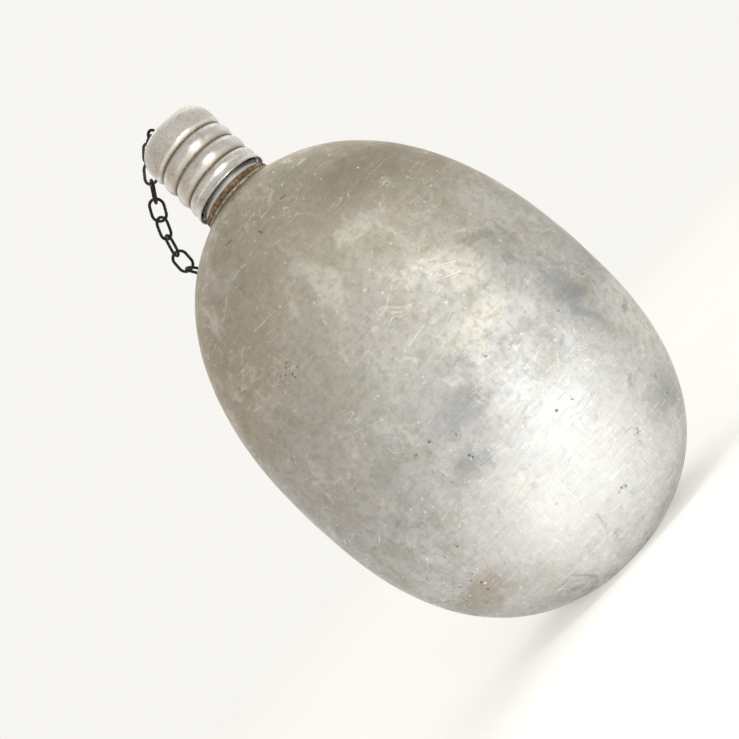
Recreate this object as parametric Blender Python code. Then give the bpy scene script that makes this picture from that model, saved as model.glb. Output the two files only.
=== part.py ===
"""Aluminium field flask with a screw cap kept on a steel chain.

The flask stands on its flat base with +Z up along the neck axis. X is its width,
Y its depth (the front face looks along -Y) and the origin is the centre of the base.
All dimensions below are in metres.
"""
import math

import bmesh
import bpy
from mathutils import Vector

MM = 0.001
GAP = 0.3 * MM                  # clearance between pieces that touch in the real thing

# ---- flask body -------------------------------------------------------------
BODY_HALF_WIDTH = 72.5 * MM     # at the widest level
BODY_HALF_DEPTH = 37.0 * MM
BODY_WIDEST_Z = 92.0 * MM
BODY_WALL = 1.2 * MM
BODY_FLOOR = 1.6 * MM
LOWER_REACH = 94.2 * MM         # how far below the widest level the lower curve would close
LOWER_POWER = 2.45
UPPER_REACH = 104.0 * MM
UPPER_POWER = 2.2
DEPTH_POWER = 0.533             # takes the oval section to a round one at the neck
SECTION_POWER = 2.0             # ellipse
SECTION_SQUARENESS = 0.22       # added to the power where the flask is widest
BODY_TOP_Z = 193.6 * MM
BODY_RIM_RADIUS = 17.6 * MM
BODY_MOUTH_RADIUS = 13.6 * MM
BASE_RECESS = 0.8 * MM
BASE_RECESS_SHARE = 0.78        # of the base's half-width
RECESS_SLOPE_SHARE = 0.06       # width of the recess's sloping edge, of the base's half-width
FLOOR_MIDDLE_SHARE = 0.30       # flat middle of the floor, of the base's half-width
FLOOR_CORNER_SHARE = 0.93       # where the inner skin meets the floor
FLOOR_CORNER_RISE = 0.1 * MM
MOUTH_LIP_HEIGHT = 2.64 * MM    # upright edge inside the mouth
BODY_SEGMENTS = 44
BODY_LOWER_ROWS = 13
BODY_UPPER_ROWS = 14

# ---- neck -------------------------------------------------------------------
NECK_BORE_RADIUS = 11.5 * MM
NECK_SPIGOT_RADIUS = BODY_MOUTH_RADIUS - GAP
NECK_SPIGOT_Z = 190.2 * MM
FLANGE_RADIUS = 17.6 * MM
FLANGE_THICKNESS = 1.5 * MM
FLANGE_Z = BODY_TOP_Z + GAP
NECK_LAND_RADIUS = 15.0 * MM
NECK_LAND_TOP_Z = 201.2 * MM
NECK_TOP_Z = 217.0 * MM
NECK_LIP_ROUND = 0.6 * MM
NECK_STEP = 0.6 * MM            # height of the slope from the land to the thread's root
NECK_SEGMENTS = 40
FLANGE_STEPS = 4

# ---- screw thread, right-handed, one start ----------------------------------
THREAD_PITCH = 4.0 * MM
THREAD_ROOT_RADIUS = 13.4 * MM
THREAD_DEPTH = 1.1 * MM
THREAD_START_Z = 202.8 * MM
THREAD_END_Z = 215.4 * MM
THREAD_FADE = 2.0 * MM
THREAD_CLEARANCE = 0.3 * MM
THREAD_ROW_STEP = 0.85 * MM

# ---- cap --------------------------------------------------------------------
CAP_SKIRT_Z = 200.5 * MM
CAP_SKIRT_BORE = NECK_LAND_RADIUS + 0.4 * MM
CAP_MOUTH_RADIUS = 16.3 * MM    # the bore flares to this at the skirt's edge
CAP_GROOVE_Z = (207.5 * MM, 214.8 * MM, 222.0 * MM)
CAP_GROOVE_RADIUS = 15.6 * MM
CAP_RIDGE_RADIUS = 16.9 * MM
CAP_EDGE_RADIUS = 17.2 * MM
CAP_EDGE_HEIGHT = 1.0 * MM
CAP_EDGE_INNER_RADIUS = CAP_GROOVE_RADIUS + 0.8 * MM    # in the slight dip above the edge
CAP_LOWEST_RIDGE_Z = CAP_SKIRT_Z + 1.6 * MM
CAP_DOME_SHOULDER_Z = 227.4 * MM
CAP_DOME_RADIUS = 16.8 * MM
CAP_DOME_ROUND = 5.2 * MM
CAP_TOP_Z = 234.6 * MM
CAP_TOP_RISE = 0.7 * MM
CAP_TOP_RISE_AT_WASHER = 0.63 * MM
CAP_SEAT_Z = 216.8 * MM         # lower end of the plain pocket that holds the seal
CAP_POCKET_RADIUS = 14.9 * MM
CAP_CEILING_Z = 231.9 * MM
CAP_CEILING_RADIUS = 12.6 * MM
CAP_CEILING_FOOT_RADIUS = 13.2 * MM
CAP_HOLE_RADIUS = 2.0 * MM
CAP_SEGMENTS = 40
RIDGE_STEPS = 4
RIDGE_FULLNESS = 0.8            # power of the sine; lower is squarer
EDGE_ROUND = 0.3 * MM           # on the skirt's rolled edge
DOME_RISE = 2.4 * MM            # from the top groove to the dome's full radius
DOME_RISE_SHARES = (0.3, 0.65, 1.0)
DOME_STEPS = 6
CEILING_ROUND = 2.0 * MM
SKIRT_BORE_TOP_Z = NECK_LAND_TOP_Z + 0.8 * MM
THREAD_LEAD = 0.3 * MM          # from the end of the plain bore to the thread

# ---- seal and the pieces that carry the swivel ------------------------------
SEAL_RADIUS = 14.5 * MM
SEAL_THICKNESS = 5.0 * MM
SEAL_Z = NECK_TOP_Z + GAP
BACKING_RADIUS = 14.2 * MM
BACKING_THICKNESS = 1.0 * MM
WASHER_RADIUS = 6.6 * MM
WASHER_THICKNESS = 0.8 * MM
KEEPER_RADIUS = 5.2 * MM
KEEPER_THICKNESS = 0.8 * MM
DISC_EDGE = 0.2 * MM
WASHER_SEGMENTS = 32
KEEPER_SEGMENTS = 24

# ---- swivel eye: a split pin whose eye leans over to the chain's side ---------
PIN_WIRE = 1.2 * MM
PIN_LEG_SPACING = 1.6 * MM
PIN_EYE_RADIUS = 2.2 * MM       # to the middle of the wire
PIN_EYE_LEAN = math.radians(66)
PIN_AZIMUTH = math.radians(150)  # the side that the eye leans to
PIN_BEND_RADIUS = 2.0 * MM
PIN_BEND_RISE = 0.2 * MM        # from the washer to where the legs start to lean
PIN_SHANK = 5.1 * MM            # from the end of the bend to the middle of the eye
PIN_CLINCH = 2.6 * MM           # how far each leg is opened out under the keeper
PIN_EYE_STEPS = 16
PIN_LEAN_STEPS = 4
PIN_CORNER = 0.7 * MM           # radius where a leg is opened out

# ---- chain ------------------------------------------------------------------
LINK_COUNT = 11
LINK_WIRE = 1.2 * MM
LINK_LENGTH = 10.7 * MM         # outside
LINK_WIDTH = 6.8 * MM           # outside
LINK_GAP = 0.45 * MM            # between the wires of two linked links
EYE_RING_OUTER = 6.2 * MM
EYE_RING_WIRE = 1.0 * MM
EYE_RING_STEPS = 16
END_RING_OUTER = 6.4 * MM
END_RING_WIRE = 1.2 * MM
END_RING_STEPS = 18
CHAIN_PULL_OUT = Vector((-29.0, 26.0, -9.5)) * MM      # how the chain leaves the swivel eye
CHAIN_PULL_BACK = Vector((-48.0, 18.0, -20.0)) * MM   # how it leaves the lug
CHAIN_FRONT = Vector((0.0, -1.0, 0.0))
LINK_TURN = math.radians(65)    # each link about its length, from the one before
FIRST_LINK_TURN = math.radians(0)
EYE_RING_TURN = math.radians(90)
END_RING_TURN = math.radians(35)
WIRE_SIDES = 6
CURVE_STEP = 0.01               # of the curve's length, when looking for the next joint
CURVE_LIMIT = 1.6               # the curve is followed a little past its end
SLACK_RANGE = (0.4, 1.8)
HALVINGS = 40
BEND_STEPS = 6

# ---- neck band with the lug that holds the chain's last ring ----------------
BAND_INNER_RADIUS = NECK_LAND_RADIUS + GAP
BAND_OUTER_RADIUS = 16.4 * MM
BAND_Z = FLANGE_Z + FLANGE_THICKNESS + GAP
BAND_HEIGHT = 2.3 * MM
BAND_EDGE = 0.4 * MM
LUG_WIRE = 1.3 * MM
LUG_STEPS = 18
LUG_SIDES = 8
LUG_RADIUS = 2.3 * MM           # to the middle of the wire
LUG_AZIMUTH = math.radians(113)
LUG_REACH = 18.3 * MM           # from the neck axis to the middle of the lug
LUG_HOLD_AZIMUTH = math.radians(165)    # from the lug's middle to where the ring hangs

# ---- colours ----------------------------------------------------------------
ALUMINIUM = ((0.62, 0.60, 0.56), 1.0, 0.42)
CAP_ALUMINIUM = ((0.66, 0.65, 0.62), 1.0, 0.36)
NECK_ALUMINIUM = ((0.60, 0.55, 0.48), 1.0, 0.45)
DARK_STEEL = ((0.09, 0.08, 0.075), 0.9, 0.5)
RUSTY_STEEL = ((0.24, 0.13, 0.07), 0.6, 0.75)
CORK = ((0.50, 0.34, 0.20), 0.0, 0.9)


def clear_scene():
    """Remove everything that the default scene holds."""
    for obj in list(bpy.data.objects):
        bpy.data.objects.remove(obj, do_unlink=True)


def material(name, look):
    """A plain Principled material from (colour, metallic, roughness)."""
    colour, metallic, roughness = look
    mat = bpy.data.materials.new(name)
    mat.use_nodes = True
    shader = mat.node_tree.nodes["Principled BSDF"]
    shader.inputs["Base Color"].default_value = (*colour, 1.0)
    shader.inputs["Metallic"].default_value = metallic
    shader.inputs["Roughness"].default_value = roughness
    mat.diffuse_color = (*colour, 1.0)
    return mat


def add_object(name, verts, faces, look):
    """A closed, outward-facing, smooth-shaded mesh object with its own material."""
    mesh = bpy.data.meshes.new(name)
    mesh.from_pydata([tuple(v) for v in verts], [], faces)
    bm = bmesh.new()
    bm.from_mesh(mesh)
    bmesh.ops.recalc_face_normals(bm, faces=bm.faces)
    bm.to_mesh(mesh)
    bm.free()
    for polygon in mesh.polygons:
        polygon.use_smooth = True
    mesh.materials.append(material(name + "_material", look))
    obj = bpy.data.objects.new(name, mesh)
    bpy.context.scene.collection.objects.link(obj)
    return obj


def loft(rings, closed):
    """Vertices and quads that join rings of points. An open loft is capped at both ends."""
    count = len(rings[0])
    verts = [point for ring in rings for point in ring]
    faces = []
    last = len(rings) if closed else len(rings) - 1
    for i in range(last):
        here = i * count
        there = (i + 1) % len(rings) * count
        for k in range(count):
            after = (k + 1) % count
            faces.append((here + k, here + after, there + after, there + k))
    if not closed:
        faces.append(tuple(reversed(range(count))))
        faces.append(tuple(range((len(rings) - 1) * count, len(rings) * count)))
    return verts, faces


def lathe(profile, segments):
    """Rings of a closed profile of (radius, height), turned about the Z axis."""
    rings = []
    for radius, z in profile:
        rings.append([
            Vector((
                radius * math.cos(2 * math.pi * k / segments),
                radius * math.sin(2 * math.pi * k / segments),
                z,
            ))
            for k in range(segments)
        ])
    return rings


def ease(x):
    """Smooth step from 0 to 1."""
    x = min(max(x, 0.0), 1.0)
    return x * x * (3 - 2 * x)


# ---- body -------------------------------------------------------------------
def half_width(z):
    """Half the flask's width at a height."""
    if z < BODY_WIDEST_Z:
        share = (BODY_WIDEST_Z - z) / LOWER_REACH
        power = LOWER_POWER
    else:
        share = (z - BODY_WIDEST_Z) / UPPER_REACH
        power = UPPER_POWER
    return BODY_HALF_WIDTH * (1 - share ** power) ** (1 / power)


def half_depth(width):
    """Half the flask's depth where its half-width is the one given."""
    return BODY_HALF_DEPTH * (width / BODY_HALF_WIDTH) ** DEPTH_POWER


def oval(width, depth, z):
    """One ring of the flask's section, a slightly squared oval."""
    share = (width - BODY_RIM_RADIUS) / (BODY_HALF_WIDTH - BODY_RIM_RADIUS)
    power = SECTION_POWER + SECTION_SQUARENESS * ease(share)
    ring = []
    for k in range(BODY_SEGMENTS):
        angle = 2 * math.pi * k / BODY_SEGMENTS
        c = math.cos(angle)
        s = math.sin(angle)
        x = width * math.copysign(abs(c) ** (2 / power), c)
        y = depth * math.copysign(abs(s) ** (2 / power), s)
        ring.append(Vector((x, y, z)))
    return ring


def body_levels():
    """Heights of the outer rings, closer together where the flask curves in."""
    lower = [
        BODY_WIDEST_Z * (1 - math.cos(math.pi / 2 * i / BODY_LOWER_ROWS))
        for i in range(BODY_LOWER_ROWS + 1)
    ]
    span = BODY_TOP_Z - BODY_WIDEST_Z
    upper = [
        BODY_WIDEST_Z + span * math.sin(math.pi / 2 * i / BODY_UPPER_ROWS)
        for i in range(1, BODY_UPPER_ROWS + 1)
    ]
    return lower + upper


def build_body():
    """The hollow flask: outer skin, rim, inner skin, floor and the recess under the base."""
    levels = body_levels()
    outer = [oval(half_width(z), half_depth(half_width(z)), z) for z in levels]
    inner = []
    for z in reversed(levels):
        if BODY_FLOOR < z < BODY_TOP_Z - BODY_WALL:
            width = half_width(z) - BODY_WALL
            depth = half_depth(half_width(z)) - BODY_WALL
            # the inner skin is set down or up by the wall, where the outside is nearly level
            slope = ease(1 - depth / BODY_HALF_DEPTH)
            toward_middle = math.copysign(BODY_WALL * slope, BODY_WIDEST_Z - z)
            inner.append(oval(width, depth, z + toward_middle))
    rim = lathe([(BODY_MOUTH_RADIUS, BODY_TOP_Z), (BODY_MOUTH_RADIUS, BODY_TOP_Z - MOUTH_LIP_HEIGHT)],
                BODY_SEGMENTS)
    floor_z = BASE_RECESS + BODY_FLOOR
    base_width = half_width(0.0)
    base_depth = half_depth(base_width)
    corner_width = FLOOR_CORNER_SHARE * inner[-1][0].x
    corner_depth = FLOOR_CORNER_SHARE * inner[-1][BODY_SEGMENTS // 4].y
    middle_width = FLOOR_MIDDLE_SHARE * base_width
    middle_depth = FLOOR_MIDDLE_SHARE * base_depth
    inner.append(oval(corner_width, corner_depth, floor_z + FLOOR_CORNER_RISE))
    inner.append(oval(middle_width, middle_depth, floor_z))
    recess_top = BASE_RECESS_SHARE - RECESS_SLOPE_SHARE
    recess = [
        oval(middle_width, middle_depth, BASE_RECESS),
        oval(recess_top * base_width, recess_top * base_depth, BASE_RECESS),
        oval(BASE_RECESS_SHARE * base_width, BASE_RECESS_SHARE * base_depth, 0.0),
    ]
    rings = outer + rim + inner
    count = BODY_SEGMENTS
    verts = [point for ring in rings + recess for point in ring]
    faces = []

    def bridge(first, second):
        for k in range(count):
            after = (k + 1) % count
            faces.append((first * count + k, first * count + after,
                          second * count + after, second * count + k))

    for i in range(len(rings) - 1):
        bridge(i, i + 1)
    floor_top = len(rings) - 1
    faces.append(tuple(floor_top * count + k for k in range(count)))
    first_recess = len(rings)
    faces.append(tuple(first_recess * count + k for k in reversed(range(count))))
    bridge(first_recess, first_recess + 1)
    bridge(first_recess + 1, first_recess + 2)
    bridge(first_recess + 2, 0)
    return add_object("flask_body", verts, faces, ALUMINIUM)


# ---- thread -----------------------------------------------------------------
def thread_height(angle, z):
    """How far the thread stands above its root, 0 to 1, at an angle and height."""
    phase = (z / THREAD_PITCH - angle / (2 * math.pi)) % 1.0
    return 0.5 - 0.5 * math.cos(2 * math.pi * phase)


def thread_fade(z):
    """Runs the thread out at both of its ends."""
    return ease((z - THREAD_START_Z) / THREAD_FADE) * ease((THREAD_END_Z - z) / THREAD_FADE)


def thread_levels(low, high):
    """Evenly spaced heights from low to high."""
    steps = max(2, round((high - low) / THREAD_ROW_STEP))
    return [low + (high - low) * i / steps for i in range(steps + 1)]


def threaded_ring(z, root, segments, inward):
    """One ring of a threaded surface. An inward thread is the female one."""
    ring = []
    for k in range(segments):
        angle = 2 * math.pi * k / segments
        rise = THREAD_DEPTH * thread_height(angle, z)
        if inward:
            radius = root + THREAD_DEPTH - (THREAD_DEPTH - rise) * thread_fade(z)
        else:
            radius = root + rise * thread_fade(z)
        ring.append(Vector((radius * math.cos(angle), radius * math.sin(angle), z)))
    return ring


def build_neck():
    """The spout: spigot in the shoulder, rounded flange, plain land and screw thread."""
    flange_top = FLANGE_Z + FLANGE_THICKNESS
    nose = FLANGE_THICKNESS / 2
    low = [
        (NECK_BORE_RADIUS, NECK_SPIGOT_Z),
        (NECK_SPIGOT_RADIUS, NECK_SPIGOT_Z),
        (NECK_SPIGOT_RADIUS, FLANGE_Z),
    ]
    for i in range(FLANGE_STEPS + 1):
        angle = -math.pi / 2 + math.pi * i / FLANGE_STEPS
        low.append((FLANGE_RADIUS - nose + nose * math.cos(angle),
                    FLANGE_Z + nose + nose * math.sin(angle)))
    low += [
        (NECK_LAND_RADIUS, flange_top),
        (NECK_LAND_RADIUS, NECK_LAND_TOP_Z),
        (THREAD_ROOT_RADIUS, NECK_LAND_TOP_Z + NECK_STEP),
    ]
    high = [
        (THREAD_ROOT_RADIUS, NECK_TOP_Z - NECK_LIP_ROUND),
        (THREAD_ROOT_RADIUS - NECK_LIP_ROUND, NECK_TOP_Z),
        (NECK_BORE_RADIUS + NECK_LIP_ROUND, NECK_TOP_Z),
        (NECK_BORE_RADIUS, NECK_TOP_Z - NECK_LIP_ROUND),
    ]
    rings = lathe(low, NECK_SEGMENTS)
    rings += [
        threaded_ring(z, THREAD_ROOT_RADIUS, NECK_SEGMENTS, False)
        for z in thread_levels(THREAD_START_Z, THREAD_END_Z)
    ]
    rings += lathe(high, NECK_SEGMENTS)
    verts, faces = loft(rings, True)
    return add_object("threaded_neck", verts, faces, NECK_ALUMINIUM)


def build_neck_band():
    """The loose steel band on the neck, with a wire lug for the chain joined on at the back."""
    top = BAND_Z + BAND_HEIGHT
    edge = BAND_EDGE
    profile = [
        (BAND_INNER_RADIUS, BAND_Z),
        (BAND_OUTER_RADIUS - edge, BAND_Z),
        (BAND_OUTER_RADIUS, BAND_Z + edge),
        (BAND_OUTER_RADIUS, top - edge),
        (BAND_OUTER_RADIUS - edge, top),
        (BAND_INNER_RADIUS, top),
    ]
    verts, faces = loft(lathe(profile, NECK_SEGMENTS), True)
    band = add_object("neck_band", verts, faces, RUSTY_STEEL)
    verts, faces = loft(
        wire_rings(circle_path(lug_centre(), Vector((1, 0, 0)), Vector((0, 1, 0)), LUG_RADIUS,
                               LUG_STEPS),
                   LUG_WIRE, True, LUG_SIDES),
        True,
    )
    lug = add_object("lug_tool", verts, faces, RUSTY_STEEL)
    join = band.modifiers.new("lug", "BOOLEAN")
    join.operation = "UNION"
    join.solver = "EXACT"
    join.object = lug
    bpy.context.view_layer.update()
    joined = bpy.data.meshes.new_from_object(band.evaluated_get(bpy.context.evaluated_depsgraph_get()))
    band.modifiers.clear()
    band.data = joined
    bpy.data.objects.remove(lug, do_unlink=True)
    return band


# ---- cap --------------------------------------------------------------------
def ridge(low, high):
    """Profile points of one rounded ridge between two grooves."""
    points = []
    for i in range(1, RIDGE_STEPS + 1):
        share = i / (RIDGE_STEPS + 1)
        bulge = math.sin(math.pi * share) ** RIDGE_FULLNESS
        points.append((CAP_GROOVE_RADIUS + (CAP_RIDGE_RADIUS - CAP_GROOVE_RADIUS) * bulge,
                       low + (high - low) * share))
    return points


def build_cap():
    """The screw cap: flared skirt, two rounded ridges, domed top, female thread inside."""
    root = THREAD_ROOT_RADIUS + THREAD_CLEARANCE
    crest = root + THREAD_DEPTH
    outside = [
        (CAP_MOUTH_RADIUS, CAP_SKIRT_Z),
        (CAP_EDGE_RADIUS - EDGE_ROUND, CAP_SKIRT_Z),
        (CAP_EDGE_RADIUS, CAP_SKIRT_Z + EDGE_ROUND),
        (CAP_EDGE_RADIUS, CAP_SKIRT_Z + CAP_EDGE_HEIGHT),
        (CAP_EDGE_INNER_RADIUS, CAP_SKIRT_Z + 2 * CAP_EDGE_HEIGHT),
    ]
    outside += ridge(CAP_LOWEST_RIDGE_Z, CAP_GROOVE_Z[0])
    outside.append((CAP_GROOVE_RADIUS, CAP_GROOVE_Z[0]))
    outside += ridge(CAP_GROOVE_Z[0], CAP_GROOVE_Z[1])
    outside.append((CAP_GROOVE_RADIUS, CAP_GROOVE_Z[1]))
    outside += ridge(CAP_GROOVE_Z[1], CAP_GROOVE_Z[2])
    outside.append((CAP_GROOVE_RADIUS, CAP_GROOVE_Z[2]))
    for share in DOME_RISE_SHARES:
        outside.append((CAP_GROOVE_RADIUS + (CAP_DOME_RADIUS - CAP_GROOVE_RADIUS) * math.sin(math.pi / 2 * share),
                        CAP_GROOVE_Z[2] + DOME_RISE * share))
    for i in range(DOME_STEPS + 1):
        angle = math.pi / 2 * i / DOME_STEPS
        outside.append((CAP_DOME_RADIUS - CAP_DOME_ROUND * (1 - math.cos(angle)),
                        CAP_DOME_SHOULDER_Z + (CAP_TOP_Z - CAP_DOME_SHOULDER_Z) * math.sin(angle)))
    outside += [
        (WASHER_RADIUS, CAP_TOP_Z + CAP_TOP_RISE_AT_WASHER),
        (CAP_HOLE_RADIUS, CAP_TOP_Z + CAP_TOP_RISE),
        (CAP_HOLE_RADIUS, CAP_CEILING_Z),
        (CAP_CEILING_RADIUS - CEILING_ROUND, CAP_CEILING_Z),
        (CAP_CEILING_RADIUS, CAP_CEILING_Z - CEILING_ROUND),
        (CAP_CEILING_FOOT_RADIUS, SEAL_Z + SEAL_THICKNESS + BACKING_THICKNESS + 3 * GAP),
        (CAP_POCKET_RADIUS, SEAL_Z + SEAL_THICKNESS + BACKING_THICKNESS + 2 * GAP),
        (CAP_POCKET_RADIUS, CAP_SEAT_Z),
    ]
    rings = lathe(outside, CAP_SEGMENTS)
    rings += [
        threaded_ring(z, root, CAP_SEGMENTS, True)
        for z in reversed(thread_levels(THREAD_START_Z, THREAD_END_Z))
    ]
    # below the thread the bore opens out, to clear the neck's plain land
    rings += lathe([
        (crest, THREAD_START_Z - THREAD_LEAD),
        (CAP_SKIRT_BORE, SKIRT_BORE_TOP_Z),
    ], CAP_SEGMENTS)
    verts, faces = loft(rings, True)
    return add_object("cap_shell", verts, faces, CAP_ALUMINIUM)


def disc(name, radius, low, thickness, hole, look, segments):
    """A flat round piece with softened edges, with or without a centre hole."""
    edge = min(DISC_EDGE, thickness / 4)
    profile = [
        (radius - edge, low),
        (radius, low + edge),
        (radius, low + thickness - edge),
        (radius - edge, low + thickness),
    ]
    if hole:
        profile += [(hole, low + thickness), (hole, low)]
        verts, faces = loft(lathe(profile, segments), True)
    else:
        verts, faces = loft(lathe(profile, segments), False)
    return add_object(name, verts, faces, look)


# ---- wire pieces ------------------------------------------------------------
def wire_rings(path, wire, closed, sides):
    """Rings of a round wire that follows a path, carried along without twist."""
    count = len(path)
    tangents = []
    for i in range(count):
        if closed:
            tangents.append((path[(i + 1) % count] - path[i - 1]).normalized())
        else:
            tangents.append((path[min(i + 1, count - 1)] - path[max(i - 1, 0)]).normalized())
    side = tangents[0].orthogonal().normalized()
    rings = []
    for i in range(count):
        side = (side - tangents[i] * side.dot(tangents[i])).normalized()
        up = tangents[i].cross(side)
        rings.append([
            path[i] + (side * math.cos(2 * math.pi * k / sides)
                       + up * math.sin(2 * math.pi * k / sides)) * wire / 2
            for k in range(sides)
        ])
    return rings


def circle_path(centre, right, up, radius, steps):
    """Points round a circle."""
    return [
        centre + (right * math.cos(2 * math.pi * i / steps)
                  + up * math.sin(2 * math.pi * i / steps)) * radius
        for i in range(steps)
    ]


def stadium_path(centre, along, across, length, width):
    """Points round a long link: two half circles joined by straight sides."""
    radius = width / 2
    straight = length / 2 - radius
    points = []
    for end in (1, -1):
        for i in range(BEND_STEPS + 1):
            angle = -math.pi / 2 + math.pi * i / BEND_STEPS
            points.append(centre + along * end * (straight + radius * math.cos(angle))
                          + across * end * radius * math.sin(angle))
    return points


def lug_centre():
    """Middle of the neck band's lug."""
    return Vector((LUG_REACH * math.cos(LUG_AZIMUTH), LUG_REACH * math.sin(LUG_AZIMUTH),
                   BAND_Z + BAND_HEIGHT / 2))


def pin_frame():
    """Middle of the split pin's bend, the way its eye leans, the way up from that, and the eye."""
    outward = Vector((math.cos(PIN_AZIMUTH), math.sin(PIN_AZIMUTH), 0))
    up = Vector((0, 0, 1))
    rise = CAP_TOP_Z + CAP_TOP_RISE + GAP + WASHER_THICKNESS + PIN_BEND_RISE
    middle = outward * PIN_BEND_RADIUS + up * rise
    lean = outward * math.sin(PIN_EYE_LEAN) + up * math.cos(PIN_EYE_LEAN)
    over = up * math.sin(PIN_EYE_LEAN) - outward * math.cos(PIN_EYE_LEAN)
    eye = middle + over * PIN_BEND_RADIUS + lean * PIN_SHANK
    return middle, lean, over, eye


def pin_leg(sign):
    """Points up one leg of the split pin, from its opened-out end to the end of the bend."""
    middle, _, _, _ = pin_frame()
    inward = Vector((-math.cos(PIN_AZIMUTH), -math.sin(PIN_AZIMUTH), 0))
    up = Vector((0, 0, 1))
    half = PIN_LEG_SPACING / 2
    low = CAP_CEILING_Z - 2 * GAP - KEEPER_THICKNESS - PIN_WIRE / 2
    points = [
        inward * sign * (half + PIN_CLINCH) + up * low,
        inward * sign * (half + PIN_CORNER) + up * low,
        inward * sign * (half + 0.3 * PIN_CORNER) + up * (low + 0.3 * PIN_CORNER),
        inward * sign * half + up * (low + PIN_CORNER),
    ]
    for i in range(PIN_LEAN_STEPS + 1):
        angle = PIN_EYE_LEAN * i / PIN_LEAN_STEPS
        out = inward * math.cos(angle) + up * math.sin(angle)
        points.append(middle + out * (PIN_BEND_RADIUS + sign * half))
    return points


def build_swivel_eye():
    """A split pin: two legs through the cap, opened out below, with an eye above."""
    _, lean, over, eye = pin_frame()
    start = math.asin(PIN_LEG_SPACING / 2 / PIN_EYE_RADIUS)
    loop = []
    for i in range(PIN_EYE_STEPS + 1):
        angle = start + (2 * math.pi - 2 * start) * i / PIN_EYE_STEPS
        loop.append(eye + (over * math.sin(angle) - lean * math.cos(angle)) * PIN_EYE_RADIUS)
    path = pin_leg(1) + loop + list(reversed(pin_leg(-1)))
    verts, faces = loft(wire_rings(path, PIN_WIRE, False, WIRE_SIDES), False)
    return add_object("swivel_eye", verts, faces, DARK_STEEL)


def bezier(points, t):
    """A point on a cubic curve."""
    a, b, c, d = points
    s = 1 - t
    return a * s ** 3 + b * 3 * s * s * t + c * 3 * s * t * t + d * t ** 3


def pivot_spacings():
    """Distances between the chain's joints: eye ring, links, end ring."""
    link = LINK_LENGTH - LINK_WIRE - LINK_WIRE - LINK_GAP
    first = EYE_RING_OUTER - EYE_RING_WIRE - (EYE_RING_WIRE + PIN_WIRE) / 2 - LINK_GAP
    last = END_RING_OUTER - END_RING_WIRE - (END_RING_WIRE + LUG_WIRE) / 2 - LINK_GAP
    return [first] + [link] * LINK_COUNT + [last]


def walk(points, spacings):
    """Joints laid along a curve at straight-line spacings, and where the last one fell."""
    joints = [points[0]]
    t = 0.0
    for spacing in spacings:
        low = t
        high = t
        while (bezier(points, high) - joints[-1]).length < spacing and high < CURVE_LIMIT:
            high += CURVE_STEP
        for _ in range(HALVINGS):
            middle = (low + high) / 2
            if (bezier(points, middle) - joints[-1]).length < spacing:
                low = middle
            else:
                high = middle
        t = (low + high) / 2
        joints.append(bezier(points, t))
    return joints, t


def chain_ends():
    """The chain's two fixed joints: in the swivel eye and in the neck band's lug."""
    _, lean, _, eye = pin_frame()
    inside = (PIN_WIRE + EYE_RING_WIRE) / 4 + LINK_GAP / 2
    start = eye + lean * (PIN_EYE_RADIUS - inside)
    inside = (LUG_WIRE + END_RING_WIRE) / 4 + LINK_GAP / 2
    outward = Vector((math.cos(LUG_HOLD_AZIMUTH), math.sin(LUG_HOLD_AZIMUTH), 0))
    end = lug_centre() + outward * (LUG_RADIUS - inside)
    return start, end


def chain_joints():
    """Joint positions of the hanging chain. Its slack is set so that it ends in the lug."""
    start, end = chain_ends()
    spacings = pivot_spacings()
    low, high = SLACK_RANGE
    for _ in range(HALVINGS):
        slack = (low + high) / 2
        points = (start, start + CHAIN_PULL_OUT * slack, end + CHAIN_PULL_BACK * slack, end)
        _, t = walk(points, spacings)
        if t > 1.0:
            low = slack
        else:
            high = slack
    joints, _ = walk(points, spacings)
    return joints


def build_chain():
    """The ring in the swivel eye, the links in turn, and the ring in the neck band's lug."""
    joints = chain_joints()
    front = CHAIN_FRONT
    pieces = []
    for i in range(LINK_COUNT + 2):
        centre = (joints[i] + joints[i + 1]) / 2
        along = (joints[i + 1] - joints[i]).normalized()
        # the front direction is carried from link to link, so each turns only about its length
        front = (front - along * front.dot(along)).normalized()
        turn = FIRST_LINK_TURN + LINK_TURN * (i - 1)
        if i == 0:
            turn = EYE_RING_TURN
        if i > LINK_COUNT:
            turn = END_RING_TURN
        across = along.cross(front) * math.cos(turn) + front * math.sin(turn)
        if i == 0:
            name = "eye_ring"
            radius = (EYE_RING_OUTER - EYE_RING_WIRE) / 2
            path = circle_path(centre, along, across, radius, EYE_RING_STEPS)
            wire = EYE_RING_WIRE
        elif i == LINK_COUNT + 1:
            name = "end_ring"
            radius = (END_RING_OUTER - END_RING_WIRE) / 2
            path = circle_path(centre, along, across, radius, END_RING_STEPS)
            wire = END_RING_WIRE
        else:
            name = f"chain_link_{i:02d}"
            path = stadium_path(centre, along, across, LINK_LENGTH - LINK_WIRE, LINK_WIDTH - LINK_WIRE)
            wire = LINK_WIRE
        verts, faces = loft(wire_rings(path, wire, True, WIRE_SIDES), True)
        pieces.append(add_object(name, verts, faces, DARK_STEEL))
    return pieces


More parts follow.
